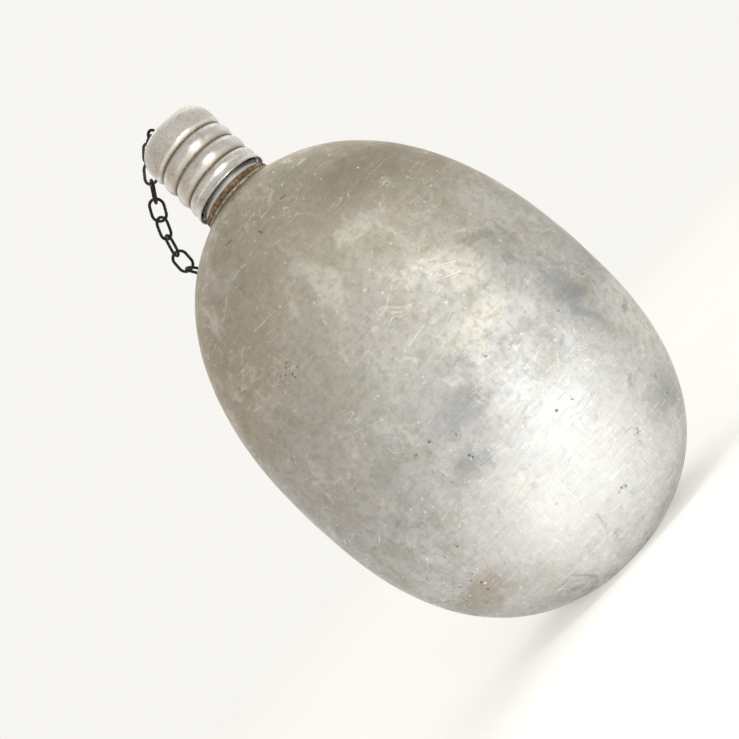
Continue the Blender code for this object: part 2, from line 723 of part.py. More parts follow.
def main():
    clear_scene()
    build_body()
    build_neck()
    build_neck_band()
    build_cap()
    disc("cap_seal", SEAL_RADIUS, SEAL_Z, SEAL_THICKNESS, 0, CORK, CAP_SEGMENTS)
    disc("seal_backing", BACKING_RADIUS, SEAL_Z + SEAL_THICKNESS + GAP, BACKING_THICKNESS, 0,
         CAP_ALUMINIUM, CAP_SEGMENTS)
    disc("swivel_washer", WASHER_RADIUS, CAP_TOP_Z + CAP_TOP_RISE + GAP, WASHER_THICKNESS,
         CAP_HOLE_RADIUS, CAP_ALUMINIUM, WASHER_SEGMENTS)
    disc("keeper_washer", KEEPER_RADIUS, CAP_CEILING_Z - GAP - KEEPER_THICKNESS, KEEPER_THICKNESS,
         CAP_HOLE_RADIUS, DARK_STEEL, KEEPER_SEGMENTS)
    build_swivel_eye()
    build_chain()


main()
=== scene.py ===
"""Looks of the aluminium field flask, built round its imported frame.

Lengths in the tables and builders are millimetres; meshes are made in metres.
+Z is up along the neck, -Y is the front, the flask stands on z = 0.
"""

import math

import bpy
import numpy as np
from mathutils import Matrix, Vector, noise


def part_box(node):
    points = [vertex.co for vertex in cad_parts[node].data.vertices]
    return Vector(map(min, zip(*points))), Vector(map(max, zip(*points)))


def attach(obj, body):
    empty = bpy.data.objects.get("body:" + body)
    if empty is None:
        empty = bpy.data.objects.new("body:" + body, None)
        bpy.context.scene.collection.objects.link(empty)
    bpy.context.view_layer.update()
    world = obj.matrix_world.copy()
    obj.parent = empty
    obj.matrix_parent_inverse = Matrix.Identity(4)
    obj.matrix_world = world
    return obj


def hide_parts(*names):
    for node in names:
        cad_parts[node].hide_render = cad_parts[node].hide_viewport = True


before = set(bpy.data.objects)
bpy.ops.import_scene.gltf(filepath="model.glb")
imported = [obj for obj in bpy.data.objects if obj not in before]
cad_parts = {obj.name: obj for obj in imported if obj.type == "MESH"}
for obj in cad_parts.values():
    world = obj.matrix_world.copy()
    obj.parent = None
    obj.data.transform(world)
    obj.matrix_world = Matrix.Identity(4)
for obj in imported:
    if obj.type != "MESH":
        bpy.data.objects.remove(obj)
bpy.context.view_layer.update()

MM = 0.001

# ---- flask body, the same rule as the frame's
BODY_HALF_WIDTH = 72.5
BODY_HALF_DEPTH = 37.0
BODY_WIDEST_Z = 92.0
BODY_WALL = 1.2
BODY_FLOOR = 1.6
LOWER_REACH = 94.2
LOWER_POWER = 2.45
UPPER_REACH = 104.0
UPPER_POWER = 2.2
DEPTH_POWER = 0.533
SECTION_SQUARENESS = 0.22
BODY_TOP_Z = 193.6
BODY_RIM_RADIUS = 17.6
BODY_MOUTH_RADIUS = 13.6
BASE_RECESS = 0.8
# the foot from its middle out: share of its half-width, height
BASE_PROFILE = (
    (0.0, BASE_RECESS), (0.12, BASE_RECESS), (0.5, BASE_RECESS), (0.70, BASE_RECESS),
    (0.715, 0.75), (0.74, 0.4), (0.765, 0.05), (0.78, 0.0), (0.9, 0.0),
)
MOUTH_LIP_HEIGHT = 2.6
BODY_SEGMENTS = 208
BODY_ROWS = 168
INNER_ROWS = 36
INNER_LEAST = 3.0               # smallest half-width of the inner skin's ovals
# worn unevenness: depth and size of the broad waves and of the small ones
WAVE_DEPTH, WAVE_SIZE = 0.16, 34.0
RIPPLE_DEPTH, RIPPLE_SIZE = 0.04, 9.0

# shallow dents pressed into the body: place, radius, depth
DENTS = (
    ((-38.0, -30.0, 118.0), 16.0, 0.35),
    ((30.0, -34.0, 62.0), 20.0, 0.30),
    ((-52.0, -24.0, 60.0), 13.0, 0.40),
    ((54.0, -22.0, 128.0), 12.0, 0.35),
    ((12.0, 36.0, 104.0), 24.0, 0.55),
    ((-46.0, 26.0, 58.0), 15.0, 0.55),
    ((40.0, 28.0, 140.0), 13.0, 0.45),
    ((66.0, 6.0, 84.0), 9.0, 0.40),
)

# ---- neck
NECK_BORE_RADIUS = 11.5
NECK_SPIGOT_RADIUS = 13.3
NECK_SPIGOT_Z = 190.2
FLANGE_RADIUS = 17.6
FLANGE_Z = 193.9
FLANGE_THICKNESS = 1.5
NECK_LAND_RADIUS = 15.0
NECK_LAND_TOP_Z = 201.2
NECK_TOP_Z = 217.0
THREAD_PITCH = 4.0
THREAD_ROOT_RADIUS = 13.4
THREAD_DEPTH = 1.1
THREAD_START_Z = 202.8
THREAD_END_Z = 215.4
THREAD_FADE = 2.0
THREAD_CLEARANCE = 0.3
NECK_SEGMENTS = 176
NECK_ROW_STEP = 0.2             # height of one row of the thread's mesh
FLANGE_STEPS = 12

# ---- cap
CAP_SKIRT_Z = 200.5
CAP_GROOVE_Z = (207.5, 214.8, 222.0)
CAP_GROOVE_RADIUS = 15.6
CAP_RIDGE_RADIUS = 16.9
CAP_EDGE_RADIUS = 17.2
CAP_DIP_RADIUS = 16.5            # just above the skirt's rolled edge
CAP_DOME_RADIUS = 16.8
CAP_DOME_SHOULDER_Z = 227.4
CAP_DOME_ROUND = 5.2
CAP_TOP_Z = 234.6
CAP_TOP_RISE = 0.7
CAP_HOLE_RADIUS = 2.0
DOME_RISE = 2.4
DOME_STEPS = 8
DOME_ROUND_STEPS = 18
RIDGE_STEPS = 22
RIDGE_LEAN = 1.10               # moves a ridge's fullest part towards the neck
RIDGE_FULLNESS = 0.85
# the dome's top from its round in to the hole: share of the flat, height above the round
TOP_PROFILE = (
    (0.9, 0.10), (0.8, 0.22), (0.76, 0.42), (0.72, 0.50), (0.6, 0.60), (0.4, 0.68), (0.2, CAP_TOP_RISE),
)
CAP_SEGMENTS = 192
CAP_INNER_SEGMENTS = 128
CAP_INNER_ROW_STEP = 0.25
CAP_LIP_RADIUS = 16.7            # inside of the skirt's rolled edge
CAP_POCKET_RADIUS = 14.9         # plain pocket that holds the seal
CAP_SEAT_Z = 216.8
KNURL_FIRST_Z = 223.4
KNURL_TEETH = 150
KNURL_DEPTH = 0.13
KNURL_SAMPLES = 4               # mesh segments in one tooth

# ---- small pieces
PIN_WIRE = 1.2
PIN_LEG_SPACING = 1.6
PIN_EYE_RADIUS = 2.2
PIN_EYE_LEAN = math.radians(66)
PIN_AZIMUTH = math.radians(150)
PIN_BEND_RADIUS = 2.0
PIN_BEND_RISE = 0.2
PIN_SHANK = 5.1
PIN_CLINCH = 2.6
PIN_CORNER = 0.7
SEAL_RADIUS = 14.5
BACKING_RADIUS = 14.2
WASHER_RADIUS = 6.6
WASHER_THICKNESS = 0.8
KEEPER_RADIUS = 5.2
KEEPER_THICKNESS = 0.8
DISC_SEGMENTS = 96
RING_STEPS = 44
CAP_CEILING_Z = 231.9
LINK_WIRE = 1.2
FIRST_LINK_WIDTH = 6.8          # narrower, as it bends over the cap's dome
LINK_SHOWN_WIRE = 1.3          # the real wire fills part of the clearance that the frame leaves
LINK_LENGTH = 10.7
LINK_WIDTH = 7.4
LINK_COUNT = 11
# a link's butt joint, a small weld with a fine seam on either side: place along the side, thickness
LINK_WELD = (
    (0.55, 1.0), (0.35, 0.86), (0.2, 1.02), (0.0, 1.04), (-0.2, 1.02), (-0.35, 0.86), (-0.55, 1.0),
)
EYE_RING_OUTER = 6.2
EYE_RING_WIRE = 1.0
END_RING_OUTER = 6.4
END_RING_WIRE = 1.2
WIRE_SIDES = 14
WIRE_SHARE = 0.985              # of the frame's wire, so that round wire stays in its box
BAND_INNER_RADIUS = 15.3
BAND_OUTER_RADIUS = 16.4
BAND_Z = 195.7
BAND_HEIGHT = 2.3
BAND_EDGE = 0.4
BAND_SEGMENTS = 160
LUG_WIRE = 1.3
LUG_RADIUS = 2.3
LUG_AZIMUTH = math.radians(113)
LUG_REACH = 18.3
LUG_STEPS = 40


# ---- materials
class Nodes:
    """Short names for the nodes of one material or of the world."""

    def __init__(self, owner):
        owner.use_nodes = True
        self.nodes = owner.node_tree.nodes
        self.links = owner.node_tree.links
        self.coordinates = self.nodes.new("ShaderNodeTexCoord")

    def split(self, vector):
        node = self.nodes.new("ShaderNodeSeparateXYZ")
        self.links.new(vector, node.inputs[0])
        return node.outputs

    def put(self, socket, value):
        """Links a socket or sets its value."""
        if isinstance(value, bpy.types.NodeSocket):
            self.links.new(value, socket)
        elif isinstance(value, tuple) and len(value) == 3 and len(socket.default_value) == 4:
            socket.default_value = (*value, 1.0)
        else:
            socket.default_value = value

    def mask(self, value, low, high, top=1.0):
        """Smoothly 0 at low and top at high."""
        node = self.nodes.new("ShaderNodeMapRange")
        node.interpolation_type = "SMOOTHSTEP"
        self.put(node.inputs["Value"], value)
        node.inputs["From Min"].default_value = low
        node.inputs["From Max"].default_value = high
        node.inputs["To Max"].default_value = top
        return node.outputs[0]

    def mix(self, share, a, b):
        node = self.nodes.new("ShaderNodeMix")
        node.data_type = "RGBA"
        self.put(node.inputs[0], share)
        self.put(node.inputs[6], a)
        self.put(node.inputs[7], b)
        return node.outputs[2]


class Look(Nodes):
    """One procedural material, with its coordinates in millimetres."""

    def __init__(self, name):
        self.material = bpy.data.materials.new(name)
        super().__init__(self.material)
        self.shader = self.nodes["Principled BSDF"]
        self.mm = self.vector("SCALE", self.coordinates.outputs["Object"], scale=1.0 / MM)
        _, self.y, self.z = self.split(self.mm)

    def vector(self, operation, a, b=None, scale=None):
        node = self.nodes.new("ShaderNodeVectorMath")
        node.operation = operation
        self.put(node.inputs[0], a)
        if b is not None:
            self.put(node.inputs[1], b)
        if scale is not None:
            self.put(node.inputs["Scale"], scale)
        return node.outputs["Value" if operation in ("DOT_PRODUCT", "LENGTH") else "Vector"]

    def math(self, operation, a, b=0.0, clamp=False):
        node = self.nodes.new("ShaderNodeMath")
        node.operation = operation
        node.use_clamp = clamp
        self.put(node.inputs[0], a)
        self.put(node.inputs[1], b)
        return node.outputs[0]

    def times(self, *values):
        """Product of masks."""
        result = values[0]
        for value in values[1:]:
            result = self.math("MULTIPLY", result, value)
        return result

    def plus(self, a, b):
        return self.math("ADD", a, b)

    def either(self, *values):
        """The strongest of some masks."""
        result = values[0]
        for value in values[1:]:
            result = self.math("MAXIMUM", result, value)
        return result

    def from_axis(self, point):
        """Distance of a place from the neck's axis."""
        return self.vector("LENGTH", self.vector("MULTIPLY", point, (1.0, 1.0, 0.0)))

    def place(self, stretch=(1.0, 1.0, 1.0), turn=(0.0, 0.0, 0.0), offset=(0.0, 0.0, 0.0), source=None):
        node = self.nodes.new("ShaderNodeMapping")
        self.put(node.inputs["Vector"], source or self.mm)
        node.inputs["Scale"].default_value = stretch
        node.inputs["Rotation"].default_value = turn
        node.inputs["Location"].default_value = offset
        return node.outputs[0]

    def noise(self, scale, detail=4.0, rough=0.5, distort=0.0, at=None, offset=None, colour=False):
        """Soft noise with features of about 1/scale millimetres."""
        if offset:
            at = self.place(offset=offset)
        node = self.nodes.new("ShaderNodeTexNoise")
        self.put(node.inputs["Vector"], at or self.mm)
        node.inputs["Scale"].default_value = scale
        node.inputs["Detail"].default_value = detail
        node.inputs["Roughness"].default_value = rough
        node.inputs["Distortion"].default_value = distort
        return node.outputs["Color" if colour else "Fac"]

    def hairs(self, scale, stretch, turn, width, amount, offset):
        """Fine broken lines: the level lines of stretched noise, shown here and there."""
        field = self.noise(scale, detail=1.0, at=self.place(stretch, turn, offset))
        line = self.mask(self.math("ABSOLUTE", self.math("SUBTRACT", field, 0.5)), width, 0.0)
        broken = self.noise(scale * 1.7, detail=2.0, offset=(offset[1], offset[2], offset[0]))
        return self.times(line, self.mask(broken, 1.0 - amount, 1.06 - amount))

    def dots(self, scale, size, share, offset=(0.0, 0.0, 0.0), source=None):
        """Small separate specks, in a share of the cells."""
        node = self.nodes.new("ShaderNodeTexVoronoi")
        self.put(node.inputs["Vector"], self.place(offset=offset, source=source))
        node.inputs["Scale"].default_value = scale
        chosen = self.nodes.new("ShaderNodeSeparateColor")
        self.links.new(node.outputs["Color"], chosen.inputs[0])
        dot = self.mask(node.outputs["Distance"], size, size * 0.45)
        return self.times(dot, self.math("LESS_THAN", chosen.outputs[0], share))

    def blob(self, centre, size, wobble, edge=0.45):
        """A soft-edged stain at a place, its outline broken by the wobble."""
        away = self.vector("SUBTRACT", self.vector("ADD", self.mm, wobble), centre)
        scaled = self.vector("DIVIDE", away, size)
        return self.mask(self.vector("LENGTH", scaled), 1.0 + edge, 1.0 - edge)

    def wobble(self, scale, amount, detail=4.0):
        """A random push of up to about this many millimetres."""
        colour = self.noise(scale, detail=detail, rough=0.6, colour=True)
        centred = self.vector("SUBTRACT", colour, (0.5, 0.5, 0.5))
        return self.vector("SCALE", centred, scale=2.0 * amount)

    def scratch(self, start, end, width, wobble):
        """One long scratch on the front, between two (x, z) points."""
        a = Vector((start[0], 0.0, start[1]))
        along = Vector((end[0], 0.0, end[1])) - a
        flat = self.vector("MULTIPLY", self.vector("ADD", self.mm, wobble), (1.0, 0.0, 1.0))
        away = self.vector("SUBTRACT", flat, tuple(a))
        share = self.vector("DOT_PRODUCT", away, tuple(along / along.length_squared))
        share = self.math("MULTIPLY", share, 1.0, clamp=True)
        nearest = self.vector("SCALE", tuple(along), scale=share)
        distance = self.vector("LENGTH", self.vector("SUBTRACT", away, nearest))
        return self.times(self.mask(distance, width, width * 0.2), self.mask(self.y, 0.0, -6.0))

    def ramp(self, value, stops):
        node = self.nodes.new("ShaderNodeValToRGB")
        self.put(node.inputs[0], value)
        elements = node.color_ramp.elements
        while len(elements) < len(stops):
            elements.new(0.5)
        for element, (position, colour) in zip(elements, stops):
            element.position = position
            element.color = (*colour, 1.0)
        return node.outputs[0]

    def over(self, colour, share, strength, other):
        """Lays another colour over a colour through a mask."""
        return self.mix(self.times(share, strength), colour, other)

    def level(self, share, a, b):
        """A number between a and b."""
        node = self.nodes.new("ShaderNodeMix")
        self.put(node.inputs[0], share)
        self.put(node.inputs[2], a)
        self.put(node.inputs[3], b)
        return node.outputs[0]

    def finish(self, colour, metallic, roughness, height=None, depth=0.0):
        """Plugs the layers into the shader. The height map is depth millimetres deep."""
        self.put(self.shader.inputs["Base Color"], colour)
        self.put(self.shader.inputs["Metallic"], metallic)
        self.put(self.shader.inputs["Roughness"], roughness)
        if height is not None:
            bump = self.nodes.new("ShaderNodeBump")
            bump.inputs["Distance"].default_value = depth * MM
            self.links.new(height, bump.inputs["Height"])
            self.links.new(bump.outputs[0], self.shader.inputs["Normal"])
        return self.material


CLEAN_ALUMINIUM = (0.735, 0.74, 0.74)
OLIVE_PATINA = (0.44, 0.425, 0.325)
GREY_OXIDE = (0.41, 0.41, 0.395)
PALE_OXIDE = (0.70, 0.685, 0.63)
BROWN_STAIN = (0.30, 0.24, 0.165)
PIT = (0.07, 0.05, 0.04)
BARE_SCRATCH = (0.88, 0.87, 0.84)
# on the front, from one (x, z) to another, with a width
SCRATCHES = (
    ((-2.0, 106.0), (11.0, 107.5), 0.32),
    ((24.0, 115.0), (33.0, 111.0), 0.28),
    ((28.0, 118.5), (34.0, 114.5), 0.25),
    ((-31.0, 151.0), (-20.0, 149.5), 0.30),
    ((6.0, 121.0), (15.0, 126.0), 0.25),
    ((-40.0, 104.0), (-22.0, 96.0), 0.20),
    ((36.0, 64.0), (52.0, 58.0), 0.22),
    ((-24.0, 52.0), (-6.0, 60.0), 0.22),
)
# dark ones, near the neck
NICKS = (
    ((9.6, 176.1), (11.8, 175.7), 0.32),
    ((-15.6, 180.4), (-12.8, 179.8), 0.32),
    ((-4.0, 174.0), (-3.7, 172.4), 0.45),
)


def body_look():
    """Old handled aluminium: mottled warm patina, stains and scratches, worn bright low on the front,
    where a highlight is painted too, with a painted reflection on the right edge and painted shade here
    and there.
    """
    look = Look("aged_body_aluminium")
    soft = look.wobble(0.09, 7.0)
    crisp = look.wobble(0.3, 1.6)
    slight = look.wobble(0.06, 0.8, detail=2.0)
    ragged = look.wobble(0.14, 9.0, detail=7.0)

    # broad tone: warmer and darker towards the neck, greyer towards the base
    large = look.noise(0.020, detail=5.0, rough=0.6, distort=0.5)
    medium = look.noise(0.065, detail=7.0, rough=0.62, distort=0.7)
    fine = look.noise(0.42, detail=8.0, rough=0.7)
    height = look.mask(look.z, 40.0, 185.0)
    tone = look.plus(look.times(height, 0.55), look.times(large, 0.5))
    colour = look.ramp(tone, (
        (0.25, (0.545, 0.55, 0.555)),
        (0.48, (0.55, 0.54, 0.515)),
        (0.66, (0.545, 0.505, 0.43)),
        (0.86, (0.50, 0.45, 0.355)),
    ))
    colour = look.mix(look.mask(medium, 0.50, 0.64, 0.55), colour, OLIVE_PATINA)
    colour = look.mix(look.mask(medium, 0.46, 0.34, 0.65), colour, PALE_OXIDE)
    mottle = look.noise(0.16, detail=6.0, rough=0.65, offset=(40.0, 11.0, 3.0))
    cloudy = look.times(look.mask(mottle, 0.50, 0.60, 0.50), look.level(height, 1.0, 0.4))
    colour = look.mix(cloudy, colour, GREY_OXIDE)

    # the part of the front that is worn bright; its lighter colour is also a painted highlight, low on
    # the front where the floor shines back
    polish_and_highlight = look.either(
        look.blob((8.0, -34.0, 36.0), (40.0, 40.0, 32.0), soft, edge=0.75),
        look.mask(look.noise(0.035, detail=3.0, offset=(5.0, 90.0, 14.0)), 0.60, 0.75, 0.6),
    )
    colour = look.over(colour, polish_and_highlight, 0.75, CLEAN_ALUMINIUM)

    pale = look.either(
        look.blob((-2.0, -35.0, 142.0), (6.0, 30.0, 10.0), soft, edge=0.25),
        look.blob((18.0, -33.0, 149.0), (9.0, 30.0, 3.0), soft, edge=0.3),
        look.blob((25.0, -35.0, 95.0), (12.0, 30.0, 5.5), soft, edge=0.3),
        look.blob((34.0, -32.0, 112.0), (5.0, 30.0, 11.0), soft, edge=0.3),
        look.mask(look.noise(0.09, detail=8.0, rough=0.7, distort=1.0, offset=(61.0, 17.0, 35.0)),
                  0.585, 0.62),
    )
    colour = look.over(colour, pale, 0.62, (0.74, 0.71, 0.63))
    # painted reflection: a lighter band on the right-hand edge of the front, where the pale room shines
    # back
    painted_edge_reflection = look.either(
        look.blob((57.0, -22.0, 122.0), (8.0, 16.0, 12.0), soft, edge=0.7),
        look.blob((63.0, -16.0, 58.0), (8.0, 16.0, 14.0), soft, edge=0.7),
    )
    colour = look.over(colour, painted_edge_reflection, 0.55, (0.80, 0.79, 0.76))
    shade = look.blob((38.0, -24.0, 163.0), (26.0, 18.0, 11.0), ragged, edge=0.8)
    colour = look.over(colour, shade, 0.62, (0.34, 0.29, 0.215))
    smudge_and_dark_reflection = look.either(
        look.blob((-2.0, -37.0, 78.0), (9.0, 30.0, 6.0), ragged, edge=0.7),
        look.blob((52.0, -27.0, 76.0), (4.0, 30.0, 12.0), ragged, edge=0.7),
        look.blob((-13.0, -36.0, 64.0), (7.0, 30.0, 4.0), ragged, edge=0.8),
        # painted reflection: this dark patch low on the right-hand edge stands for something dark that
        # shines back there
        look.blob((50.0, -21.0, 29.0), (8.0, 14.0, 7.0), ragged, edge=0.8),
        look.times(look.mask(look.noise(0.045, detail=8.0, rough=0.72, distort=0.8,
                                        offset=(9.0, 52.0, 81.0)), 0.58, 0.66),
                   look.mask(look.z, 150.0, 105.0)),
    )
    colour = look.over(colour, smudge_and_dark_reflection, 0.62, (0.29, 0.30, 0.32))
    brown = look.either(
        look.blob((40.0, -24.0, 160.0), (10.0, 14.0, 4.5), ragged, edge=0.6),
        look.blob((58.0, -12.0, 146.0), (7.0, 12.0, 4.0), ragged, edge=0.6),
        look.blob((-45.0, -25.0, 30.0), (13.0, 20.0, 6.0), ragged, edge=0.6),
        look.mask(look.noise(0.05, detail=8.0, rough=0.72, distort=0.8, offset=(31.0, 5.0, 47.0)),
                  0.62, 0.70),
    )
    colour = look.over(colour, brown, 0.65, BROWN_STAIN)
    # darker brown round the foot of the neck, where it meets the shoulder
    dark_round_neck_foot = look.mask(look.from_axis(look.vector("ADD", look.mm, crisp)), 22.0, BODY_RIM_RADIUS)
    dark_round_neck_foot = look.times(dark_round_neck_foot, look.mask(look.z, 186.0, 191.0))
    colour = look.over(colour, dark_round_neck_foot, 0.8, (0.21, 0.15, 0.09))

    # fine grain, specks, pits and scratches
    grain = look.times(look.mask(fine, 0.46, 0.62, 0.38), look.level(polish_and_highlight, 1.0, 0.35))
    colour = look.mix(grain, colour, (0.36, 0.345, 0.30))
    white = look.either(
        look.dots(0.33, 0.20, 0.12),
        look.dots(0.12, 0.10, 0.25, offset=(9.0, 4.0, 70.0)),
    )
    colour = look.over(colour, white, 0.7, (0.82, 0.80, 0.74))
    pit_zone = look.either(
        look.blob((-20.5, -36.0, 78.0), (7.0, 10.0, 3.0), crisp),
        look.blob((-45.0, -25.0, 33.0), (13.0, 20.0, 6.0), crisp),
        look.times(look.mask(look.noise(0.05, detail=2.0, offset=(80.0, 3.0, 9.0)), 0.60, 0.65),
                   look.mask(look.z, 100.0, 80.0)),
    )
    shaky = look.vector("ADD", look.mm, look.wobble(0.9, 0.8, detail=2.0))
    cluster = look.blob((-33.0, -32.5, 131.5), (4.5, 10.0, 3.5), crisp)
    pits = look.either(
        look.times(look.dots(0.62, 0.42, 0.5, offset=(6.0, 1.0, 4.0), source=shaky), cluster),
        look.times(look.dots(0.46, 0.30, 0.35, offset=(3.0, 8.0, 1.0), source=shaky), pit_zone),
        look.dots(0.16, 0.075, 0.12, offset=(55.0, 2.0, 31.0), source=shaky),
    )
    nicks = look.either(*[look.scratch(*mark, slight) for mark in NICKS])
    pits = look.either(pits, nicks)
    colour = look.over(colour, pits, 0.8, PIT)
    ring_away = look.vector("SUBTRACT", look.vector("ADD", look.mm, slight), (-26.0, -35.0, 87.0))
    ring_reach = look.vector("LENGTH", look.vector("MULTIPLY", ring_away, (1.0, 0.0, 1.0)))
    ring = look.mask(look.math("ABSOLUTE", look.math("SUBTRACT", ring_reach, 2.6)), 0.5, 0.1)
    ring = look.times(ring, look.mask(look.y, 0.0, -6.0))
    long_scratches = look.either(*[look.scratch(*mark, slight) for mark in SCRATCHES])
    hairs = look.either(
        look.hairs(0.05, (1.0, 1.0, 4.0), (0.0, 0.10, 0.0), 0.006, 0.50, (3.0, 2.0, 1.0)),
        look.hairs(0.07, (4.0, 4.0, 1.0), (0.0, 0.45, 0.0), 0.005, 0.42, (13.0, 22.0, 5.0)),
        look.hairs(0.09, (1.0, 1.0, 6.0), (0.0, -0.5, 0.0), 0.006, 0.42, (33.0, 6.0, 15.0)),
    )
    long_scratches = look.times(long_scratches, look.mask(look.noise(0.5, detail=4.0), 0.36, 0.56, 0.75))
    ring = look.times(ring, look.mask(look.noise(0.4, detail=3.0), 0.40, 0.58, 0.5))
    scratches = look.either(long_scratches, look.times(hairs, 0.8), ring)
    colour = look.over(colour, scratches, 0.75, BARE_SCRATCH)

    across = look.place((0.35, 0.35, 4.5), (0.0, 0.07, 0.0))
    slanted = look.place((4.0, 4.0, 0.4), (0.0, 0.5, 0.0))
    brushed = look.noise(0.25, detail=6.0, rough=0.75, at=across)
    brushed_too = look.noise(0.3, detail=5.0, rough=0.75, at=slanted)
    lines = look.plus(look.times(brushed, 0.6), look.times(brushed_too, 0.4))
    colour = look.mix(look.times(look.mask(lines, 0.52, 0.60), look.level(polish_and_highlight, 0.16, 0.60)),
                      colour, BARE_SCRATCH)

    roughness = look.level(polish_and_highlight, 0.50, 0.34)
    roughness = look.plus(roughness, look.times(look.mask(medium, 0.4, 0.7), 0.08))
    roughness = look.plus(roughness, look.times(look.mask(fine, 0.4, 0.7), 0.06))
    roughness = look.math("SUBTRACT", roughness, look.times(scratches, 0.12))
    metallic = look.level(look.either(brown, dark_round_neck_foot, pits), 0.92, 0.35)
    relief = look.plus(look.times(lines, 0.35), look.times(fine, 0.5))
    relief = look.math("SUBTRACT", relief, look.times(look.either(pits, scratches), 0.8))
    return look.finish(colour, metallic, roughness, relief, 0.09)


def inner_look():
    """Inside of the flask: plain dull aluminium with scale."""
    look = Look("dull_inner_aluminium")
    scale = look.noise(0.12, detail=7.0, rough=0.65, distort=0.6)
    colour = look.ramp(scale, (
        (0.30, (0.52, 0.51, 0.48)),
        (0.55, (0.42, 0.40, 0.35)),
        (0.75, (0.62, 0.61, 0.57)),
    ))
    roughness = look.level(scale, 0.5, 0.75)
    return look.finish(colour, 0.9, roughness, scale, 0.15)


def cap_look():
    """Turned aluminium, cleaner than the body, with dirt held in the grooves and painted shade on the
    ridges' flanks beside them.
    """
    look = Look("turned_cap_aluminium")
    radius = look.from_axis(look.mm)
    large = look.noise(0.06, detail=5.0, rough=0.6, distort=0.5)
    fine = look.noise(0.9, detail=6.0, rough=0.65)
    turned = look.noise(0.8, detail=4.0, rough=0.6, at=look.place((0.05, 0.05, 6.0)))
    colour = look.ramp(large, (
        (0.30, (0.86, 0.855, 0.84)),
        (0.52, (0.80, 0.79, 0.76)),
        (0.72, (0.71, 0.69, 0.64)),
    ))
    colour = look.mix(look.mask(turned, 0.45, 0.65, 0.28), colour, (0.80, 0.79, 0.77))
    colour = look.mix(look.mask(fine, 0.48, 0.62, 0.35), colour, (0.42, 0.40, 0.35))
    below_dome = look.mask(look.z, 223.6, 222.6)
    above_edge = look.mask(look.z, 203.0, 204.5)
    ragged = look.plus(radius, look.times(look.math("SUBTRACT", fine, 0.5), 0.25))
    groove = look.times(look.mask(ragged, 16.1, 15.65), below_dome, above_edge)
    # painted shade: the ridges' flanks next to each groove are coloured darker brown
    shade = look.times(look.mask(ragged, 16.85, 15.9), below_dome, above_edge)
    colour = look.over(colour, shade, 0.65, (0.36, 0.295, 0.21))
    colour = look.over(colour, groove, 0.9, (0.13, 0.10, 0.065))
    smear = look.noise(0.22, detail=6.0, rough=0.65, distort=0.6, offset=(7.0, 21.0, 4.0))
    colour = look.mix(look.mask(smear, 0.52, 0.64, 0.45), colour, (0.47, 0.42, 0.33))
    pits = look.either(look.dots(0.5, 0.10, 0.10), look.dots(0.2, 0.06, 0.20, offset=(6.0, 3.0, 9.0)))
    colour = look.over(colour, pits, 0.7, PIT)
    hairs = look.either(
        look.hairs(0.16, (1.0, 1.0, 3.0), (0.2, 0.3, 0.0), 0.008, 0.5, (3.0, 2.0, 1.0)),
        look.hairs(0.2, (3.0, 3.0, 1.0), (0.1, -0.4, 0.0), 0.007, 0.45, (13.0, 2.0, 5.0)),
    )
    colour = look.over(colour, hairs, 0.5, BARE_SCRATCH)
    # painted shade: the inside of the cap and the inside of its mouth are coloured near black
    deep = look.times(look.mask(radius, 15.5, 15.3), look.mask(look.z, 232.3, 232.1))
    mouth = look.times(look.mask(radius, 16.74, 16.66), look.mask(look.z, 201.95, 201.85))
    inside = look.either(deep, mouth)
    colour = look.over(colour, inside, 0.9, (0.05, 0.045, 0.038))
    roughness = look.plus(0.20, look.times(fine, 0.18))
    roughness = look.plus(roughness, look.times(groove, 0.35))
    metallic = look.level(look.either(groove, pits, inside), 1.0, 0.4)
    relief = look.plus(look.times(turned, 0.5), look.times(fine, 0.4))
    relief = look.math("SUBTRACT", relief, look.either(look.times(hairs, 0.5), pits))
    return look.finish(colour, metallic, roughness, relief, 0.05)


def neck_look():
    """Neck aluminium: a clean band under the cap, brown dirt down to the shoulder."""
    look = Look("stained_neck_aluminium")
    radius = look.from_axis(look.mm)
    patch = look.noise(0.25, detail=6.0, rough=0.65, distort=0.6)
    fine = look.noise(1.2, detail=6.0, rough=0.7)
    turned = look.noise(0.7, detail=3.0, at=look.place((0.05, 0.05, 8.0)))
    colour = look.ramp(turned, ((0.35, (0.76, 0.755, 0.74)), (0.65, (0.88, 0.88, 0.87))))
    ragged = look.plus(look.z, look.times(look.math("SUBTRACT", patch, 0.5), 2.2))
    low = look.mask(ragged, 198.6, 197.8)
    dirt = look.ramp(patch, (
        (0.38, (0.12, 0.07, 0.035)),
        (0.50, (0.25, 0.165, 0.09)),
        (0.62, (0.42, 0.33, 0.22)),
    ))
    colour = look.over(colour, low, 0.92, dirt)
    nose = look.times(look.mask(radius, 17.25, 17.5), look.mask(fine, 0.56, 0.44))
    colour = look.over(colour, nose, 0.6, (0.62, 0.57, 0.48))
    root = look.times(look.mask(radius, 14.0, 13.4), look.mask(look.z, 202.0, 203.0))
    colour = look.over(colour, root, 0.6, (0.20, 0.17, 0.12))
    grime = look.times(low, look.mask(nose, 1.0, 0.0))
    metallic = look.level(grime, 1.0, 0.35)
    roughness = look.plus(look.level(grime, 0.28, 0.72), look.times(fine, 0.10))
    relief = look.plus(look.times(patch, 0.6), look.times(fine, 0.4))
    relief = look.times(relief, look.level(low, 0.25, 1.0))
    return look.finish(colour, metallic, roughness, relief, 0.12)


